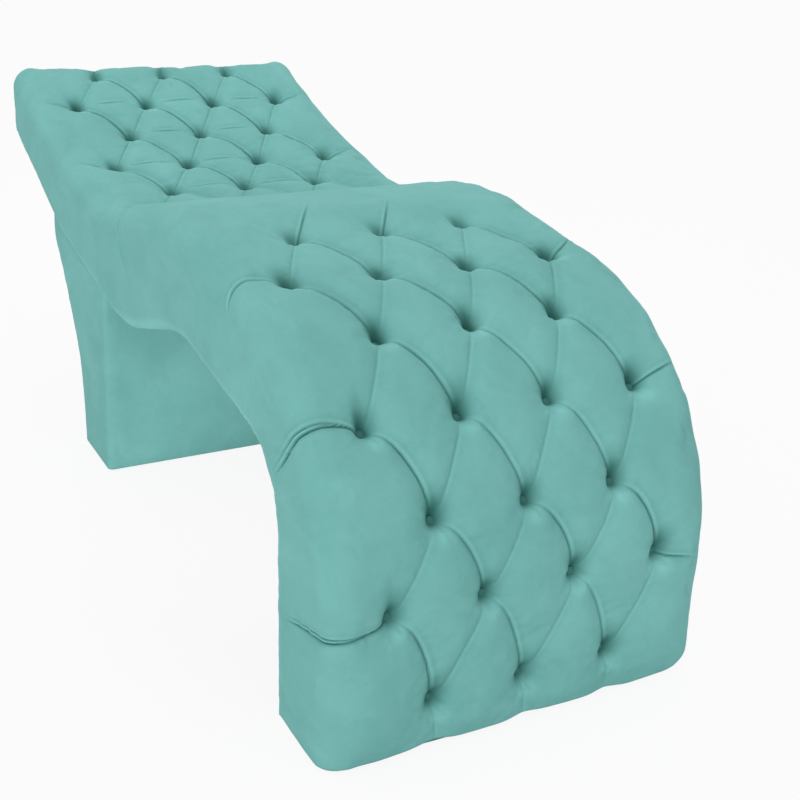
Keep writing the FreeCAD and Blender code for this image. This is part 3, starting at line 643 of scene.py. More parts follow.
def plain_skin(sizes, tufts, step):
    """Velvet before it is tufted: top, shoulders, flanks and head end, with its flat cloth."""
    top, under, _ = bed_lines(sizes)
    half = sizes.wide / 2
    round_ = sizes.shoulder
    flat_half = half - round_
    last = top.length - round_
    leg, back = tuft_rows(tufts)
    seat = leg[-1][0] + 0.13, back[0][0] - 0.09
    stations = spread_rows([(0.0, seat[0], step), (seat[0], seat[1], max(step, SEAT_STEP)),
                            (seat[1], last, step)])
    across = np.linspace(-flat_half, flat_half, int(round(2 * flat_half / step)) + 1)
    ns, nv = len(stations), len(across)

    end_y = top.at(last)[0][0]
    pairs_top = [0.0] + top.middles + [last]
    pairs_under = [0.0] + under.middles + [under.station_at(end_y)]
    below = np.interp(stations, pairs_top, pairs_under)
    blur = 30
    kernel = np.hanning(2 * blur + 1)
    padded = np.pad(below, blur, mode="reflect", reflect_type="odd")
    below = np.convolve(padded, kernel / kernel.sum(), mode="valid")
    top_points, _ = top.at(stations)
    under_points, _ = under.at(below)
    down = under_points - top_points
    height = np.linalg.norm(down, axis=1)
    down = down / height[:, None]

    fan = np.linspace(0, 1, 13)[1:-1]
    left = [(i, 0, math.pi) for i in range(ns)]
    right = [(i, nv - 1, 0.0) for i in reversed(range(ns))]
    corner_left = [(ns - 1, 0, math.pi * (1 - t / 2)) for t in fan]
    head = [(ns - 1, j, math.pi / 2) for j in range(nv)]
    corner_right = [(ns - 1, nv - 1, math.pi / 2 * (1 - t)) for t in fan]
    border = left + corner_left + head + corner_right + right
    row = np.array([b[0] for b in border])
    column = np.array([b[1] for b in border])
    angle = np.array([b[2] for b in border])
    arc = round_ * math.pi / 2
    shoulder_rows, flank_rows = (int(round(span / step)) for span in (0.081, 0.0945))
    shoulder = np.linspace(0, 1, shoulder_rows + 1)[1:]
    flank = np.linspace(0, 1, flank_rows + 1)[1:] ** 1.35
    nw = len(shoulder) + len(flank)

    top_index = np.arange(ns * nv).reshape(ns, nv)
    skirt_index = ns * nv + np.arange(len(border) * nw).reshape(len(border), nw)
    points = np.zeros((ns * nv + len(border) * nw, 3))
    flat = np.zeros((len(points), 2))
    points[:ns * nv, 0] = np.tile(across, ns)
    points[:ns * nv, 1:] = np.repeat(top_points, nv, axis=0)
    flat[:ns * nv, 0] = np.tile(across, ns)
    flat[:ns * nv, 1] = np.repeat(stations, nv)

    out = np.stack([np.cos(angle), np.sin(angle)], -1)
    pivot = np.stack([across[column], top_points[row, 0], top_points[row, 1]], -1)
    way = np.stack([np.zeros(len(border)), down[row, 0], down[row, 1]], -1)
    slope = math.tan(top.at(last)[1])
    outward = np.stack([out[:, 0], out[:, 1], out[:, 1] * 0], -1)
    foot_y = pivot[:, 1] + outward[:, 1] * round_
    head_low = under.at(under.station_at(end_y))[0]
    head_slope = math.tan(under.at(under.length)[1])
    head_reach = pivot[:, 2] - head_low[1] - (foot_y - end_y) * head_slope
    reach = np.where(out[:, 1] > 1e-6, head_reach, height[row])
    for k in range(nw):
        if k < len(shoulder):
            turn = shoulder[k] * math.pi / 2
            place = pivot + outward * (round_ * math.sin(turn)) + way * (round_ * (1 - math.cos(turn)))
            place[:, 2] += np.sin(turn) * round_ * out[:, 1] * slope * (1 - shoulder[k])
            run = np.full(len(border), shoulder[k] * arc)
        else:
            depth = round_ + (reach - round_) * flank[k - len(shoulder)]
            rest = np.clip(depth - (reach - sizes.edge), 0, sizes.edge)
            tuck = sizes.edge - np.sqrt(np.maximum(sizes.edge ** 2 - rest ** 2, 0))
            place = pivot + outward * (round_ - tuck)[:, None] + way * depth[:, None]
            run = arc + depth - round_
        points[skirt_index[:, k]] = place
        flat[skirt_index[:, k], 0] = across[column] + out[:, 0] * run
        flat[skirt_index[:, k], 1] = stations[row] + out[:, 1] * run

    rim = np.concatenate([top_index[row, column][:, None], skirt_index], axis=1)
    quads = np.concatenate([grid_quads(top_index), grid_quads(rim)[:, [0, 3, 2, 1]]])
    pinched = quads[:, 0] == quads[:, 1]

    lowest = np.zeros(len(points))
    lowest[skirt_index] = np.concatenate([np.zeros(len(shoulder)), flank])[None, :]
    front = np.zeros(len(points))
    front[:ns * nv] = 1.0
    sides = np.abs(out[:, 1]) < 1e-6
    for k, share in enumerate(shoulder):
        front[skirt_index[sides, k]] = (1 - share) ** 1.5

    return SimpleNamespace(
        points=points, flat=flat, quads=quads[~pinched], triangles=quads[pinched][:, 1:],
        lowest=lowest, front=front, top_index=top_index, skirt_index=skirt_index,
        top_points=top_points, under_points=under_points, down=down, press_half=flat_half + arc * 0.5)


def build_cover(sizes, tufts):
    """Closed pad: dense velvet outside, plain inside along deck and side panels."""
    skin = plain_skin(sizes, tufts, SKIN_STEP)
    points, flat = skin.points, skin.flat
    quads, triangles = skin.quads, skin.triangles
    top_index, skirt_index = skin.top_index, skin.skirt_index
    top_points, under_points, down = skin.top_points, skin.under_points, skin.down
    half = sizes.wide / 2
    ns = len(top_index)
    border = len(skirt_index)

    inner = []
    wall = half - sizes.flank
    for side in (-1, 1):
        inner.append(np.stack([np.full(ns, side * wall), under_points[:, 0], under_points[:, 1]], -1))
        roof = top_points + down * sizes.foam
        inner.append(np.stack([np.full(ns, side * wall), roof[:, 0], roof[:, 1]], -1))
    base = len(points)
    low_left, roof_left, low_right, roof_right = (base + k * ns + np.arange(ns) for k in range(4))
    points = np.concatenate([points] + inner)
    flat = np.concatenate([flat, np.zeros((4 * ns, 2))])
    edge_left = skirt_index[:ns, -1]
    edge_right = skirt_index[-ns:, -1][::-1]

    lines = (edge_left, low_left, roof_left, roof_right, low_right, edge_right)
    inside = [grid_quads(np.stack(pair)) for pair in zip(lines, lines[1:])]
    faces = [np.concatenate([quads] + inside), triangles]
    head_edge = skirt_index[ns - 1:border - ns + 1, -1]
    head_ring = np.concatenate([head_edge, [low_right[-1], low_left[-1]]])
    faces.append(head_ring[None, :])
    faces.append(np.array([[low_left[-1], low_right[-1], roof_right[-1], roof_left[-1]]]))
    foot_ring = np.concatenate([
        [low_left[0]], skirt_index[0, ::-1], top_index[0], skirt_index[-1],
        [low_right[0], roof_right[0], roof_left[0]]])
    faces.append(foot_ring[None, ::-1])
    outside = np.zeros(sum(len(f) for f in faces), np.int32)
    outside[:len(quads)] = 1
    outside[len(faces[0]):len(faces[0]) + len(triangles)] = 1
    item = new_object("velvet_over_bed", points, faces)
    still = np.zeros(4 * ns)
    store_values(item.data, "across", flat[:, 0])
    store_values(item.data, "along", flat[:, 1])
    store_values(item.data, "lowest", np.append(skin.lowest, still))
    store_values(item.data, "front", np.append(skin.front, still))
    item.data.attributes.new("skin", "INT", "FACE").data.foreach_set("value", outside)
    edges = np.zeros(len(points), bool)
    for line in (top_index[0], skirt_index[:, -1], skirt_index[0], skirt_index[-1]):
        edges[line] = True
    refine(item, close_to_folds(flat, tufts, skin.press_half) & ~edges, edges)
    mesh = item.data
    flat = np.stack([point_values(mesh, "across"), point_values(mesh, "along")], -1)
    edges = (point_values(mesh, "lowest") > 0.96) | (flat[:, 1] < 0.004)
    flank = np.abs(flat[:, 0]) > skin.press_half
    refine(item, close_to_folds(flat, tufts, skin.press_half, 0.0055, 0.0) & flank & ~edges, edges)
    press_tufts(item, sizes, tufts, skin.press_half)
    smooth_shade(item)
    return item


def close_to_folds(flat, tufts, half, beside=0.0075, around=0.026):
    """Points of the flat cloth beside a sharp fold or in a funnel."""
    close = np.zeros(len(flat), bool)
    for fold in tuft_folds(tufts, half):
        near, _, _, away, _ = fold.press(flat[:, 0], flat[:, 1], 0.012)
        close[near[np.abs(away) < beside]] = True
    for spot in tuft_spots(tufts):
        close |= np.hypot(flat[:, 0] - spot.place, flat[:, 1] - spot.station) < around
    return close


def refine(item, wanted, kept):
    """Halve the faces at the wanted points, leaving those at the kept points whole."""
    mesh = item.data
    deselect()
    corners, total = face_corners(mesh)
    owner = np.repeat(np.arange(len(total)), total)
    chosen = np.zeros(len(total), bool)
    chosen[owner[wanted[corners]]] = True
    chosen[owner[kept[corners]]] = False
    chosen &= total <= 4
    mesh.vertices.foreach_set("select", np.zeros(len(mesh.vertices), bool))
    mesh.edges.foreach_set("select", np.zeros(len(mesh.edges), bool))
    mesh.polygons.foreach_set("select", chosen)
    bpy.context.view_layer.objects.active = item
    item.select_set(True)
    bpy.ops.object.mode_set(mode="EDIT")
    bpy.ops.mesh.select_mode(type="FACE")
    bpy.ops.mesh.subdivide(number_cuts=1, smoothness=0.0, quadcorner="INNERVERT")
    bpy.ops.mesh.select_all(action="DESELECT")
    bpy.ops.object.mode_set(mode="OBJECT")
    item.select_set(False)


def skin_normals(mesh):
    """Vertex normals from the faces of the outer skin alone."""
    skin = np.zeros(len(mesh.polygons), np.int32)
    mesh.attributes["skin"].data.foreach_get("value", skin)
    corners, total = face_corners(mesh)
    normal = np.zeros(len(mesh.polygons) * 3, np.float32)
    mesh.polygons.foreach_get("normal", normal)
    area = np.zeros(len(mesh.polygons), np.float32)
    mesh.polygons.foreach_get("area", area)
    weight = normal.reshape(-1, 3) * area[:, None] * skin[:, None]
    found = np.zeros((len(mesh.vertices), 3))
    np.add.at(found, corners, weight[np.repeat(np.arange(len(total)), total)])
    size = np.linalg.norm(found, axis=1, keepdims=True)
    return found / np.where(size > 1e-12, size, 1)


def corner_tuck(across, along, sizes):
    """How far the velvet turns in at the right lower corner of the foot."""
    middle = sizes.wide / 2 - sizes.shoulder + sizes.shoulder * math.radians(60)
    beside = np.cos(math.pi / 2 * np.clip((across - middle) / 0.075, -1, 1)) ** 2
    low = np.clip(sizes.corner - along, 0, sizes.corner)
    return beside * (sizes.corner - np.sqrt(sizes.corner ** 2 - low ** 2))


def pressed(points, normals, across, along, lowest, front, sizes, tufts, half):
    """Points of the skin pushed into funnels and folds, with a rounded and waved hem."""
    depth = tuft_depth(across, along, tufts, half)
    fall = np.clip(sizes.edge - along, 0, sizes.edge)
    depth = depth + front * (sizes.edge - np.sqrt(np.maximum(sizes.edge ** 2 - fall ** 2, 0)))
    depth = depth + corner_tuck(across, along, sizes)
    depth = depth * np.clip((1 - lowest) / 0.12, 0, 1)
    points = points - normals * depth[:, None]
    wave = np.zeros(len(points))
    for place in tuft_rows(tufts)[0][0][1]:
        wave = np.maximum(wave, np.exp(-((across - place) / 0.034) ** 2))
    wave = (0.0040 * wave + 0.0012 * (1 + np.sin(across * 31))) * np.clip(1 - along / 0.06, 0, 1) ** 2
    points[:, 2] += front * wave
    points[:, 2] = np.maximum(points[:, 2], FLOOR_GAP)
    return points


def held_share(flat, lowest, tufts, half):
    """How firmly the foam, a button or a seam holds each point of the cloth, from 0 to 1."""
    across, along = flat.T
    held = np.zeros(len(flat))
    for fold in tuft_folds(tufts, half):
        near, _, _, away, strength = fold.press(across, along, 0.02)
        firm = np.clip((0.25 + strength) * fold.crease / tufts.crease, 0, 1)
        held[near] = np.maximum(held[near], firm * np.exp(-(away / 0.006) ** 2))
    for spot in tuft_spots(tufts):
        gap = np.hypot(across - spot.place, along - spot.station)
        held = np.maximum(held, np.clip(1.6 - gap / 0.014, 0, 1))
    held = np.maximum(held, np.clip((lowest - 0.80) / 0.12, 0, 1))
    return np.maximum(held, np.clip(1.5 - along / 0.012, 0, 1))


def let_swell(name, start, faces, firm, pressure, growth):
    """How far each point of a held cloth moves under pressure from inside."""
    cloth = new_object(name, start, faces)
    group = cloth.vertex_groups.new(name="held")
    levels = 20
    firm = np.round(firm * levels) / levels
    for value in np.unique(firm):
        if value > 0:
            group.add(np.flatnonzero(firm == value).tolist(), float(value), "REPLACE")
    deselect()
    cloth.select_set(True)
    bpy.context.view_layer.objects.active = cloth
    modifier = cloth.modifiers.new("Cloth", "CLOTH")
    settings = modifier.settings
    settings.quality = 4
    settings.use_pressure = True
    settings.uniform_pressure_force = pressure
    settings.effector_weights.gravity = 0.0
    settings.vertex_group_mass = "held"
    settings.shrink_min = -growth
    modifier.collision_settings.use_collision = False
    modifier.point_cache.frame_start = 1
    modifier.point_cache.frame_end = SWELL_FRAMES
    scene = bpy.context.scene
    for number in range(1, SWELL_FRAMES + 1):
        scene.frame_set(number)
    bpy.ops.object.modifier_apply(modifier=modifier.name)
    moved = np.zeros(len(start) * 3, np.float32)
    cloth.data.vertices.foreach_get("co", moved)
    scene.frame_set(1)
    bpy.data.objects.remove(cloth)
    return moved.reshape(-1, 3) - start


def capped(moved, limit):
    """Moves cut to a limit, kept in their direction."""
    reach = np.linalg.norm(moved, axis=1)
    return moved * np.minimum(1, limit / np.maximum(reach, 1e-9))[:, None]


def swell(sizes, tufts):
    """Let a coarser copy of the velvet swell as held cloth: its flat places and how far each moved."""
    skin = plain_skin(sizes, tufts, SWELL_STEP)
    across, along = skin.flat.T
    half = skin.press_half
    normals = face_normals(skin.points, np.concatenate([skin.quads, skin.triangles[:, [0, 1, 2, 2]]]))
    start = pressed(skin.points, normals, across, along, skin.lowest, skin.front, sizes, tufts, half)
    firm = held_share(skin.flat, skin.lowest, tufts, half)
    moved = let_swell("swelling_velvet", start, [skin.quads, skin.triangles], firm,
                      pressure=4.0, growth=0.012)
    zone = tufted_zone(across, along, tufts, half)
    return skin.flat, capped(moved, tufts.swell * (0.25 + 0.75 * zone))


def press_tufts(item, sizes, tufts, half):
    """Push the plain skin into funnels and folds, then let it swell."""
    mesh = item.data
    across, along, lowest, front = (
        point_values(mesh, name) for name in ("across", "along", "lowest", "front"))
    points = np.zeros(len(mesh.vertices) * 3, np.float32)
    mesh.vertices.foreach_get("co", points)
    points = points.reshape(-1, 3).astype(float)
    normals = skin_normals(mesh)
    points = pressed(points, normals, across, along, lowest, front, sizes, tufts, half)
    flat, moved = swell(sizes, tufts)
    tree = KDTree(len(flat))
    for number, (x, y) in enumerate(flat):
        tree.insert((x, y, 0.0), number)
    tree.balance()
    for number in np.flatnonzero(np.linalg.norm(normals, axis=1) > 0.5):
        found = tree.find_n((across[number], along[number], 0.0), 4)
        weight = np.array([1 / (gap * gap + 1e-8) for _, _, gap in found])
        points[number] += weight @ moved[[k for _, k, _ in found]] / weight.sum()
    points[:, 2] = np.maximum(points[:, 2], FLOOR_GAP)
    mesh.vertices.foreach_set("co", points.astype(np.float32).ravel())
    for name in ("lowest", "front", "skin"):
        mesh.attributes.remove(mesh.attributes[name])
    # Painted shade and painted highlights of the velvet, stored on its points.
    store_values(mesh, "nap", tuft_painted_shade(across, along, lowest, tufts, half))
    mesh.update()
    cloth_map(item, np.stack([across, along], -1))


def even_painted_shade(item, value):
    store_values(item.data, "nap", np.full(len(item.data.vertices), value))


def build_base(sizes):
    """Closed velvet sleeve of the base, up into the underside of the bed."""
    _, under, rear = bed_lines(sizes)
    half = sizes.base_wide / 2
    edge = sizes.base_edge
    front = -sizes.long / 2 + sizes.base_front
    low = sizes.hem
    under_line, _ = under.at(np.linspace(0, under.length, 900))
    under_line = under_line[under_line[:, 0] > front - 0.1]
    rear_line, _ = rear.at(np.linspace(0, rear.length, 600))
    wide_count, deep_count = 91, 49
    turns = np.linspace(0, math.pi / 2, 7)[1:-1]
    columns = [(share, 0.0, 0.0, -1.0) for share in np.linspace(-1, 1, wide_count)]
    columns += [(1.0, 0.0, math.sin(t), -math.cos(t)) for t in turns]
    columns += [(1.0, share, 1.0, 0.0) for share in np.linspace(0, 1, deep_count)]
    columns += [(1.0, 1.0, math.cos(t), math.sin(t)) for t in turns]
    columns += [(share, 1.0, 0.0, 1.0) for share in np.linspace(1, -1, wide_count)]
    columns += [(-1.0, 1.0, -math.sin(t), math.cos(t)) for t in turns]
    columns += [(-1.0, share, -1.0, 0.0) for share in np.linspace(1, 0, deep_count)]
    columns += [(-1.0, 0.0, -math.cos(t), -math.sin(t)) for t in turns]
    share, part, nx, ny = np.array(columns).T
    rows = np.concatenate([np.linspace(0, 0.03, 6)[:-1], np.linspace(0.03, 1, 64)])

    def rear_at(z):
        return np.interp(z, rear_line[:, 1], rear_line[:, 0])

    def place(z):
        return front + edge + part * (rear_at(z) - edge - front - edge) + edge * ny

    summit = np.full(len(share), 0.45)
    for _ in range(8):
        summit = np.interp(place(summit), under_line[:, 0], under_line[:, 1])
    overlap = 0.0015
    summit = summit + overlap
    points = np.zeros((len(rows), len(share), 3))
    for k, rise in enumerate(rows):
        z = low + (summit - low) * rise
        points[k, :, 0] = share * (half - edge) + edge * nx
        points[k, :, 1] = place(z)
        points[k, :, 2] = z
    nr, nc = points.shape[:2]
    index = np.arange(nr * nc).reshape(nr, nc)
    quads = grid_quads(np.concatenate([index, index[:, :1]], axis=1))
    points = points.reshape(-1, 3)
    around = np.cumsum(np.concatenate([[0], np.linalg.norm(np.diff(points[:nc], axis=0), axis=1)]))
    flat = np.stack([np.tile(around, nr), points[:, 2]], -1)
    normals = face_normals(points, quads)
    rise = np.repeat(rows, nc)
    puff = np.clip(np.minimum(rise, 1 - rise) / 0.1, 0, 1)
    sideways = points[:, 0] * 1.3 + points[:, 1]
    height = points[:, 2]
    level = 0.0010 * ripple(sideways, height, seed=11, waves=8, shortest=0.09, longest=0.32)
    level += 0.00012 * ripple(sideways, height, seed=12, waves=10, shortest=0.03, longest=0.07)
    pull = np.exp(-rise / 0.05) * 0.0006 * np.sin(flat[:, 0] * math.tau / 0.043)
    hem_round = 0.006
    hem = np.clip(hem_round - (points[:, 2] - low), 0, hem_round)
    tuck = hem_round - np.sqrt(np.maximum(hem_round ** 2 - hem ** 2, 0))
    points = points + normals * (level * puff + pull * puff - tuck)[:, None]
    points[:, 2] = np.maximum(points[:, 2], FLOOR_GAP)
    upright = np.tile(np.minimum(np.abs(nx), np.abs(ny)) > 0.05, nr)
    firm = np.maximum(np.clip(1.5 - np.minimum(rise, 1 - rise) / 0.012, 0, 1), 0.9 * upright)
    moved = let_swell("swelling_base", points, [quads], firm, pressure=2.0, growth=0.004)
    points = points + capped(moved, sizes.base_swell)
    points[:, 2] = np.maximum(points[:, 2], FLOOR_GAP)
    item = new_object("velvet_over_base", points, [quads, index[0][None, ::-1], index[-1][None, :]])
    cloth_map(item, flat)
    even_painted_shade(item, UNSHADED_LEVEL)
    smooth_shade(item)
    return item


class Wire:
    """An output socket of a material, for sums written as plain Python."""

    def __init__(self, tree, socket=None):
        self.tree = tree
        self.socket = socket

    def node(self, kind, settings=None, values=None, output=0):
        """Any node: its settings first, then its sockets, by name or number."""
        made = self.tree.nodes.new(kind)
        for name, value in (settings or {}).items():
            if name == "stops":
                ramp = made.color_ramp
                while len(ramp.elements) < len(value):
                    ramp.elements.new(1.0)
                for element, (position, tint) in zip(ramp.elements, value):
                    element.position = position
                    element.color = tint
            else:
                setattr(made, name, value)
        for name, value in (values or {}).items():
            if isinstance(value, Wire):
                self.tree.links.new(value.socket, made.inputs[name])
            else:
                made.inputs[name].default_value = value
        return Wire(self.tree, made.outputs[output])

    def _sum(self, operation, first, second):
        return self.node("ShaderNodeMath", {"operation": operation}, {0: first, 1: second})

    def __add__(self, other):
        return self._sum("ADD", self, other)

    def __radd__(self, other):
        return self._sum("ADD", other, self)

    def __mul__(self, other):
        return self._sum("MULTIPLY", self, other)

    def __rmul__(self, other):
        return self._sum("MULTIPLY", other, self)

    def between(self, first, second):
        """Blend of two colours by this value."""
        values = {0: self}
        for slot, tint in ((6, first), (7, second)):
            values[slot] = tint if isinstance(tint, Wire) else (*tint, 1.0)
        return self.node("ShaderNodeMix", {"data_type": "RGBA"}, values, 2)

    def ramp(self, *stops):
        """Grey ramp from (position, value) stops."""
        greys = [(place, (value, value, value, 1.0)) for place, value in stops]
        return self.node("ShaderNodeValToRGB", {"stops": greys}, {0: self})

    def noise(self, where, scale, detail=3.0, rough=0.55, twist=0.0):
        return self.node("ShaderNodeTexNoise", {"normalize": True}, {
            "Vector": where, "Scale": scale, "Detail": detail, "Roughness": rough,
            "Distortion": twist})

    def stretched(self, where, scale):
        return self.node("ShaderNodeMapping", None, {"Vector": where, "Scale": scale})


def finish(name, base, roughness, bump=None, bump_depth=0.0005, bump_strength=0.4, **constants):
    """Material with these wires or values, and constants set on the shader's own sockets."""
    made = bpy.data.materials.new(name)
    made.use_nodes = True
    tree = made.node_tree
    shader = tree.nodes["Principled BSDF"]
    start = Wire(tree)
    sockets = {"Base Color": base(start),
               "Roughness": roughness(start) if callable(roughness) else roughness}
    if bump:
        sockets["Normal"] = start.node("ShaderNodeBump", None, {
            "Height": bump(start), "Distance": bump_depth, "Strength": bump_strength})
    for key, value in {**sockets, **constants}.items():
        if isinstance(value, Wire):
            tree.links.new(value.socket, shader.inputs[key])
        else:
            shader.inputs[key].default_value = value
    return made


def object_space(wire):
    return wire.node("ShaderNodeTexCoord", None, None, "Object")


def fine_grain(scale):
    """Height of an even grain, for the bump of a hard surface."""
    return lambda wire: wire.noise(object_space(wire), scale)


def velvet(colours):
    def shade(wire):
        where = object_space(wire)
        broad = wire.noise(where, 3.2, 2.0)
        brushed = wire.noise(wire.stretched(where, (1.0, 0.55, 1.0)), 15.0, 4.0, 0.6, 0.7)
        flecks = wire.noise(where, 90.0, 3.0, 0.7)
        pile = wire.noise(where, 900.0, 2.0)
        tone = broad * 0.40 + brushed * 0.36 + flecks * 0.14 + pile * 0.10
        plain = tone.ramp((0.34, 0.0), (0.66, 1.0)).between(colours.velvet_deep, colours.velvet)
        # Painted shade and painted highlights, stored on the points, pull the velvet towards its painted shade
        # colour or lift it.
        nap = wire.node("ShaderNodeAttribute", {"attribute_name": "nap"}, None, "Fac")
        return nap.between(colours.velvet_painted_shade, plain)

    def rough(wire):
        where = object_space(wire)
        return 0.70 + 0.22 * wire.noise(where, 15.0, 4.0, 0.6, 0.7)

    def bump(wire):
        where = object_space(wire)
        return wire.noise(where, 900.0, 2.0) * 0.6 + wire.noise(where, 160.0, 3.0, 0.65) * 0.7

    return finish("mint_velvet", shade, rough, bump, 0.0006, 0.35, **{
        "Sheen Weight": 0.12, "Sheen Roughness": 0.40, "Sheen Tint": (*colours.sheen, 1.0),
        "Specular IOR Level": 0.10})


def velvet_of(scene):
    """The one velvet of the bed, made when it is first asked for."""
    return bpy.data.materials.get("mint_velvet") or velvet(scene.bed_colours)


def lining(colours):
    def shade(wire):
        where = object_space(wire)
        lay = wire.noise(where, 60.0, 4.0, 0.7)
        dark = [c * 0.7 for c in colours.lining]
        pale = [min(1.0, c * 1.9) for c in colours.lining]
        return lay.ramp((0.35, 0.0), (0.7, 1.0)).between(dark, pale)

    def bump(wire):
        where = object_space(wire)
        dots = wire.node("ShaderNodeTexVoronoi", {"feature": "F1"},
                         {"Vector": where, "Scale": 420.0})
        return dots * 0.8 + wire.noise(where, 240.0, 3.0) * 0.4

    return finish("lining_cloth", shade, 0.92, bump, 0.0004, 0.5, **{"Specular IOR Level": 0.25})


def wood(name, tint, along, rings, grain, ply=False):
    """Sawn timber or veneer with its grain along one axis of the object."""
    squeeze = [1.0, 1.0, 1.0]
    squeeze["XYZ".index(along)] = 0.06

    def figure(wire):
        where = wire.stretched(object_space(wire), tuple(squeeze))
        bands = wire.node("ShaderNodeTexWave", {"wave_type": "RINGS" if not ply else "BANDS"}, {
            "Vector": where, "Scale": rings, "Distortion": 5.0, "Detail": 3.0, "Detail Scale": 1.4})
        fibre = wire.noise(where, grain, 4.0, 0.65)
        return bands * 0.45 + fibre * 0.55

    def shade(wire):
        dark = [c * 0.55 for c in tint]
        pale = [min(1.0, c * 1.18) for c in tint]
        return figure(wire).ramp((0.25, 0.0), (0.8, 1.0)).between(dark, pale)

    def rough(wire):
        return 0.55 + 0.25 * figure(wire)

    return finish(name, shade, rough, figure, 0.0004, 0.35)


def metal(colours):
    def shade(wire):
        where = object_space(wire)
        spots = wire.noise(where, 220.0, 4.0, 0.7)
        dark = [c * 0.75 for c in colours.steel]
        return spots.ramp((0.3, 0.0), (0.75, 1.0)).between(dark, colours.steel)

    def rough(wire):
        return 0.26 + 0.22 * wire.noise(object_space(wire), 380.0, 3.0)

    return finish("zinc_plated_steel", shade, rough, fine_grain(700.0), 0.0001, 0.2, Metallic=1.0)


def moulded(name, tint, gloss):
    def shade(wire):
        spots = wire.noise(object_space(wire), 180.0, 3.0)
        dark = [c * 0.8 for c in tint]
        pale = [min(1, c * 1.25) for c in tint]
        return spots.ramp((0.3, 0.0), (0.7, 1.0)).between(dark, pale)

    def rough(wire):
        return gloss + 0.2 * wire.noise(object_space(wire), 420.0, 3.0)

    return finish(name, shade, rough, fine_grain(1200.0), 0.0002, 0.3)


def waxed(colours):
    def shade(wire):
        twist = wire.noise(wire.stretched(object_space(wire), (1.0, 1.0, 0.3)), 900.0, 3.0)
        dark = [c * 0.7 for c in colours.twine]
        return twist.ramp((0.3, 0.0), (0.7, 1.0)).between(dark, colours.twine)

    return finish("waxed_twine", shade, 0.6, fine_grain(1500.0), 0.0003, 0.5)


def dress(item, material):
    """One material on every slot of an object."""
    if not item.data.materials:
        item.data.materials.append(material)
    for slot in item.material_slots:
        slot.material = material


def seen_rays(tree):
    """1 for rays that the camera sees straight, in a mirror or through glass."""
    rays = Wire(tree).node("ShaderNodeLightPath").socket.node.outputs
    seen = Wire(tree, rays["Is Camera Ray"]) + Wire(tree, rays["Is Glossy Ray"])
    return seen + Wire(tree, rays["Is Transmission Ray"])


def deselect():
    if bpy.context.mode != "OBJECT":
        bpy.ops.object.mode_set(mode="OBJECT")
    bpy.ops.object.select_all(action="DESELECT")


class BED_OT_velvet_over_bed(bpy.types.Operator):
    """Lay the tufted velvet over top, flanks, head end and foot"""

    bl_idname = "bed.velvet_over_bed"
    bl_label = "Tufted velvet"

    def execute(self, context):
        deselect()
        scene = context.scene
        item = build_cover(scene.bed_sizes, scene.bed_tufts)
        dress(item, velvet_of(scene))
        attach(item, "root")
        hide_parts("velvet_cover", "leg_foam", "seat_foam", "back_foam", "flank_foam_left", "flank_foam_right",
                    "head_end_foam")
        return {"FINISHED"}


class BED_OT_covered_buttons(bpy.types.Operator):
    """Set a covered button at the foot of each funnel"""

    bl_idname = "bed.covered_buttons"
    bl_label = "Covered buttons"

    def execute(self, context):
        scene = context.scene
        tufts = scene.bed_tufts
        top, _, _ = bed_lines(scene.bed_sizes)
        deselect()
        radius = tufts.button
        flatness, pucker, underside, lift_out = 0.24, 0.0004, -0.002, 0.0005
        bpy.ops.mesh.primitive_uv_sphere_add(segments=20, ring_count=10, radius=radius,
                                             location=(0, 0, 0))
        first = context.active_object
        first.name = "covered_buttons"
        bpy.ops.object.mode_set(mode="EDIT")
        bpy.ops.mesh.select_all(action="SELECT")
        bpy.ops.transform.resize(value=(1.0, 1.0, flatness))
        bpy.ops.mesh.select_all(action="DESELECT")
        bpy.ops.object.mode_set(mode="OBJECT")
        for vertex in first.data.vertices:
            rim = math.hypot(vertex.co.x, vertex.co.y) / radius
            turn = math.atan2(vertex.co.y, vertex.co.x)
            vertex.co.z += pucker * rim * math.sin(turn * 5)
            if vertex.co.z < underside:
                vertex.co.z = underside
        first.data.update()
        copies = []
        for spot in tuft_spots(tufts):
            point, heading = top.at(spot.station)
            up = Vector((0, -math.sin(heading), math.cos(heading)))
            copy = first.copy()
            copy.data = first.data.copy()
            scene.collection.objects.link(copy)
            seat = Vector((spot.place, point[0], point[1])) - up * (tufts.depth * spot.share - lift_out)
            tilt = up.to_track_quat("Z", "Y").to_matrix().to_4x4()
            copy.data.transform(Matrix.Translation(seat) @ tilt)
            copies.append(copy)
        deselect()
        bpy.data.objects.remove(first)
        for copy in copies:
            copy.select_set(True)
        context.view_layer.objects.active = copies[0]
        bpy.ops.object.join()
        item = context.active_object
        item.name = "covered_buttons"
        bpy.ops.object.shade_smooth()
        # Painted shade on the buttons, as dark as the painted shade of their funnels.
        even_painted_shade(item, BUTTON_PAINTED_SHADE)
        dress(item, velvet_of(scene))
        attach(item, "root")
        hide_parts("tuft_buttons")
        deselect()
        return {"FINISHED"}


class BED_OT_velvet_over_base(bpy.types.Operator):
    """Wrap the flared base in velvet"""

    bl_idname = "bed.velvet_over_base"
    bl_label = "Velvet of the base"

    def execute(self, context):
        deselect()
        scene = context.scene
        item = build_base(scene.bed_sizes)
        dress(item, velvet_of(scene))
        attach(item, "root")
        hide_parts("base_cover", "base_wadding")
        return {"FINISHED"}


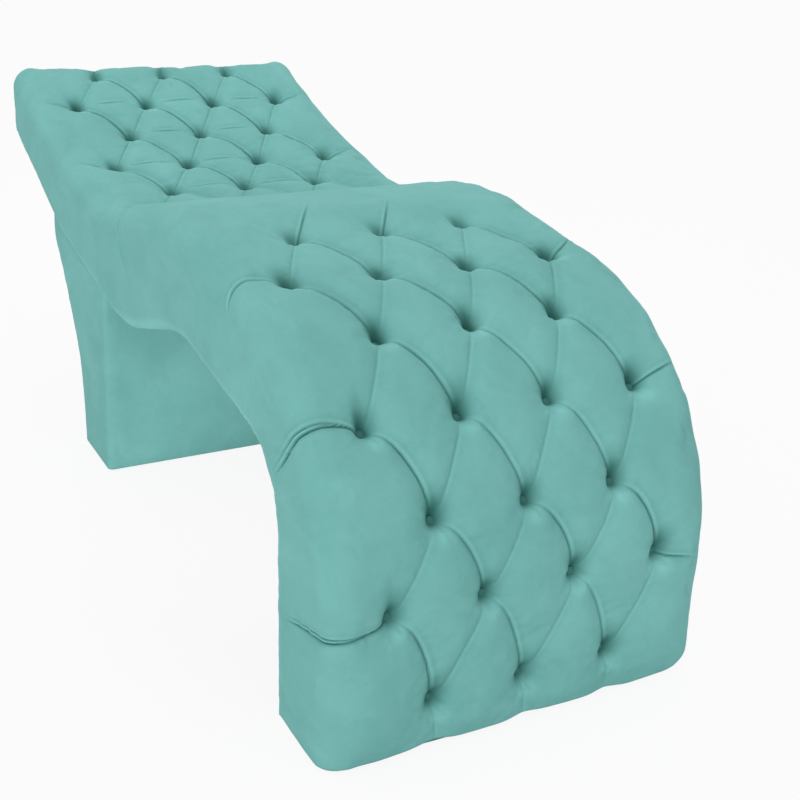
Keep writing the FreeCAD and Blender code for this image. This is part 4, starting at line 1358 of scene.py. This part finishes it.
class BED_OT_frame_finishes(bpy.types.Operator):
    """Give timber, lining, hardware and glides their finishes"""

    bl_idname = "bed.frame_finishes"
    bl_label = "Frame finishes"

    def execute(self, context):
        colours = context.scene.bed_colours
        board = wood("plywood_board", colours.plywood, "Y", 14.0, 60.0, ply=True)
        rail = wood("pine_rail", colours.pine, "X", 9.0, 50.0)
        post = wood("pine_post", colours.pine, "Z", 9.0, 50.0)
        groups = (
            (board, ("leg_deck", "seat_deck", "back_deck", "side_panel_left", "side_panel_right",
                     "base_side_left", "base_side_right", "base_front_panel", "base_rear_panel",
                     "head_end_board")),
            (rail, ("foot_rail", "shin_rail", "knee_rail", "thigh_rail", "crest_rail", "seat_rail",
                    "crease_rail", "back_rail", "head_rail", "mount_rail_front", "mount_rail_rear",
                    "base_sill_front", "base_sill_rear", "base_batten_front", "base_batten_rear")),
            (post, ("base_post_left", "base_post_right")),
            (lining(colours), ("underside_lining",)),
            (waxed(colours), ("tuft_twines",)),
            (moulded("washer_nylon", (0.62, 0.62, 0.60), 0.4), ("twine_washers",)),
            (metal(colours), ("base_bolts", "base_bolt_washers", "base_nuts")),
            (moulded("glide_nylon", colours.glide, 0.42), ("foot_glides", "base_glides")),
        )
        for material, names in groups:
            for name in names:
                dress(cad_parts[name], material)
        return {"FINISHED"}


class BED_OT_stage(bpy.types.Operator):
    """Set the floor, the lamps, the sky and the camera"""

    bl_idname = "bed.stage"
    bl_label = "Stage"

    def execute(self, context):
        scene = context.scene
        settings = scene.bed_stage
        deselect()
        bpy.ops.mesh.primitive_plane_add(size=40.0, location=(0, 0, 0))
        floor = context.active_object
        floor.name = "floor"
        made = bpy.data.materials.new("studio_floor")
        made.use_nodes = True
        tree = made.node_tree
        shader = tree.nodes["Principled BSDF"]
        shader.inputs["Base Color"].default_value = (*scene.bed_colours.floor, 1.0)
        shader.inputs["Roughness"].default_value = 0.9
        shader.inputs["Specular IOR Level"].default_value = 0.0
        wire = Wire(tree)
        seen = seen_rays(tree)
        glow = wire.node("ShaderNodeEmission", None, {"Color": (1, 1, 1, 1), "Strength": 1.0})
        mixed = wire.node("ShaderNodeMixShader", None, {
            0: seen * FLOOR_WHITE, 1: Wire(tree, shader.outputs[0]), 2: glow})
        tree.links.new(mixed.socket, tree.nodes["Material Output"].inputs["Surface"])
        dress(floor, made)

        world = bpy.data.worlds.new("studio")
        scene.world = world
        world.use_nodes = True
        tree = world.node_tree
        seen = seen_rays(tree)
        sky = tree.nodes["Background"]
        sky.inputs["Color"].default_value = (1, 1, 1, 1)
        tree.links.new((seen * (1 - settings.sky) + settings.sky).socket, sky.inputs["Strength"])

        for name, place, aim, side, power in (
            ("key", (0.5, 1.0, 3.4), (0.0, 0.0, 0.4), 2.6, settings.key),
            ("fill", (-6.0, -5.3, 0.9), (0.0, 0.2, 0.3), 2.4, settings.fill),
            ("front", (0.3, -4.2, 1.5), (0.0, -0.2, 0.3), 2.4, settings.front),
            ("arch", (-0.16, -0.56, 0.20), (-0.26, 0.3, 0.17), 0.30, settings.arch),
        ):
            bpy.ops.object.light_add(type="AREA", location=place)
            lamp = context.active_object
            lamp.name = name
            lamp.data.shape = "SQUARE"
            lamp.data.size = side
            lamp.data.energy = power
            lamp.visible_camera = False
            if name == "arch":
                lamp.data.spread = math.radians(80)
            lamp.rotation_euler = (Vector(aim) - Vector(place)).to_track_quat("-Z", "Y").to_euler()

        bpy.ops.object.camera_add(location=settings.camera)
        camera = context.active_object
        right = Vector((math.cos(settings.yaw), -math.sin(settings.yaw), 0))
        level = math.cos(settings.pitch)
        ahead = Vector((math.sin(settings.yaw) * level, math.cos(settings.yaw) * level,
                        -math.sin(settings.pitch)))
        low = ahead.cross(right)
        lean, stand = math.sin(settings.roll), math.cos(settings.roll)
        x = right * stand - low * lean
        y = -(right * lean + low * stand)
        turn = Matrix((x, y, -ahead)).transposed()
        camera.matrix_world = Matrix.Translation(settings.camera) @ turn.to_4x4()
        camera.data.lens = settings.lens
        camera.data.sensor_width = 36.0
        camera.data.clip_end = 100.0
        scene.camera = camera
        scene.view_settings.view_transform = "Standard"
        deselect()
        return {"FINISHED"}


class BED_PT_panel(bpy.types.Panel):
    """Steps of the bed, in order"""

    bl_idname = "BED_PT_panel"
    bl_label = "Beauty treatment bed"
    bl_space_type = "VIEW_3D"
    bl_region_type = "UI"
    bl_category = "Bed"

    def draw(self, context):
        for step in STEPS:
            self.layout.operator(step.bl_idname)


GROUPS = (("bed_sizes", BedSizes), ("bed_tufts", TuftSizes), ("bed_colours", BedColours),
          ("bed_stage", StageSizes))
STEPS = (BED_OT_velvet_over_bed, BED_OT_covered_buttons, BED_OT_velvet_over_base,
         BED_OT_frame_finishes, BED_OT_stage)


def register():
    for name, group in GROUPS:
        bpy.utils.register_class(group)
        setattr(bpy.types.Scene, name, PointerProperty(type=group))
    for step in STEPS + (BED_PT_panel,):
        bpy.utils.register_class(step)


def unregister():
    for step in reversed(STEPS + (BED_PT_panel,)):
        bpy.utils.unregister_class(step)
    for name, group in reversed(GROUPS):
        delattr(bpy.types.Scene, name)
        bpy.utils.unregister_class(group)


def main():
    register()
    bpy.ops.bed.velvet_over_bed()
    bpy.ops.bed.covered_buttons()
    bpy.ops.bed.velvet_over_base()
    bpy.ops.bed.frame_finishes()
    bpy.ops.bed.stage()


if __name__ == "__main__":
    main()
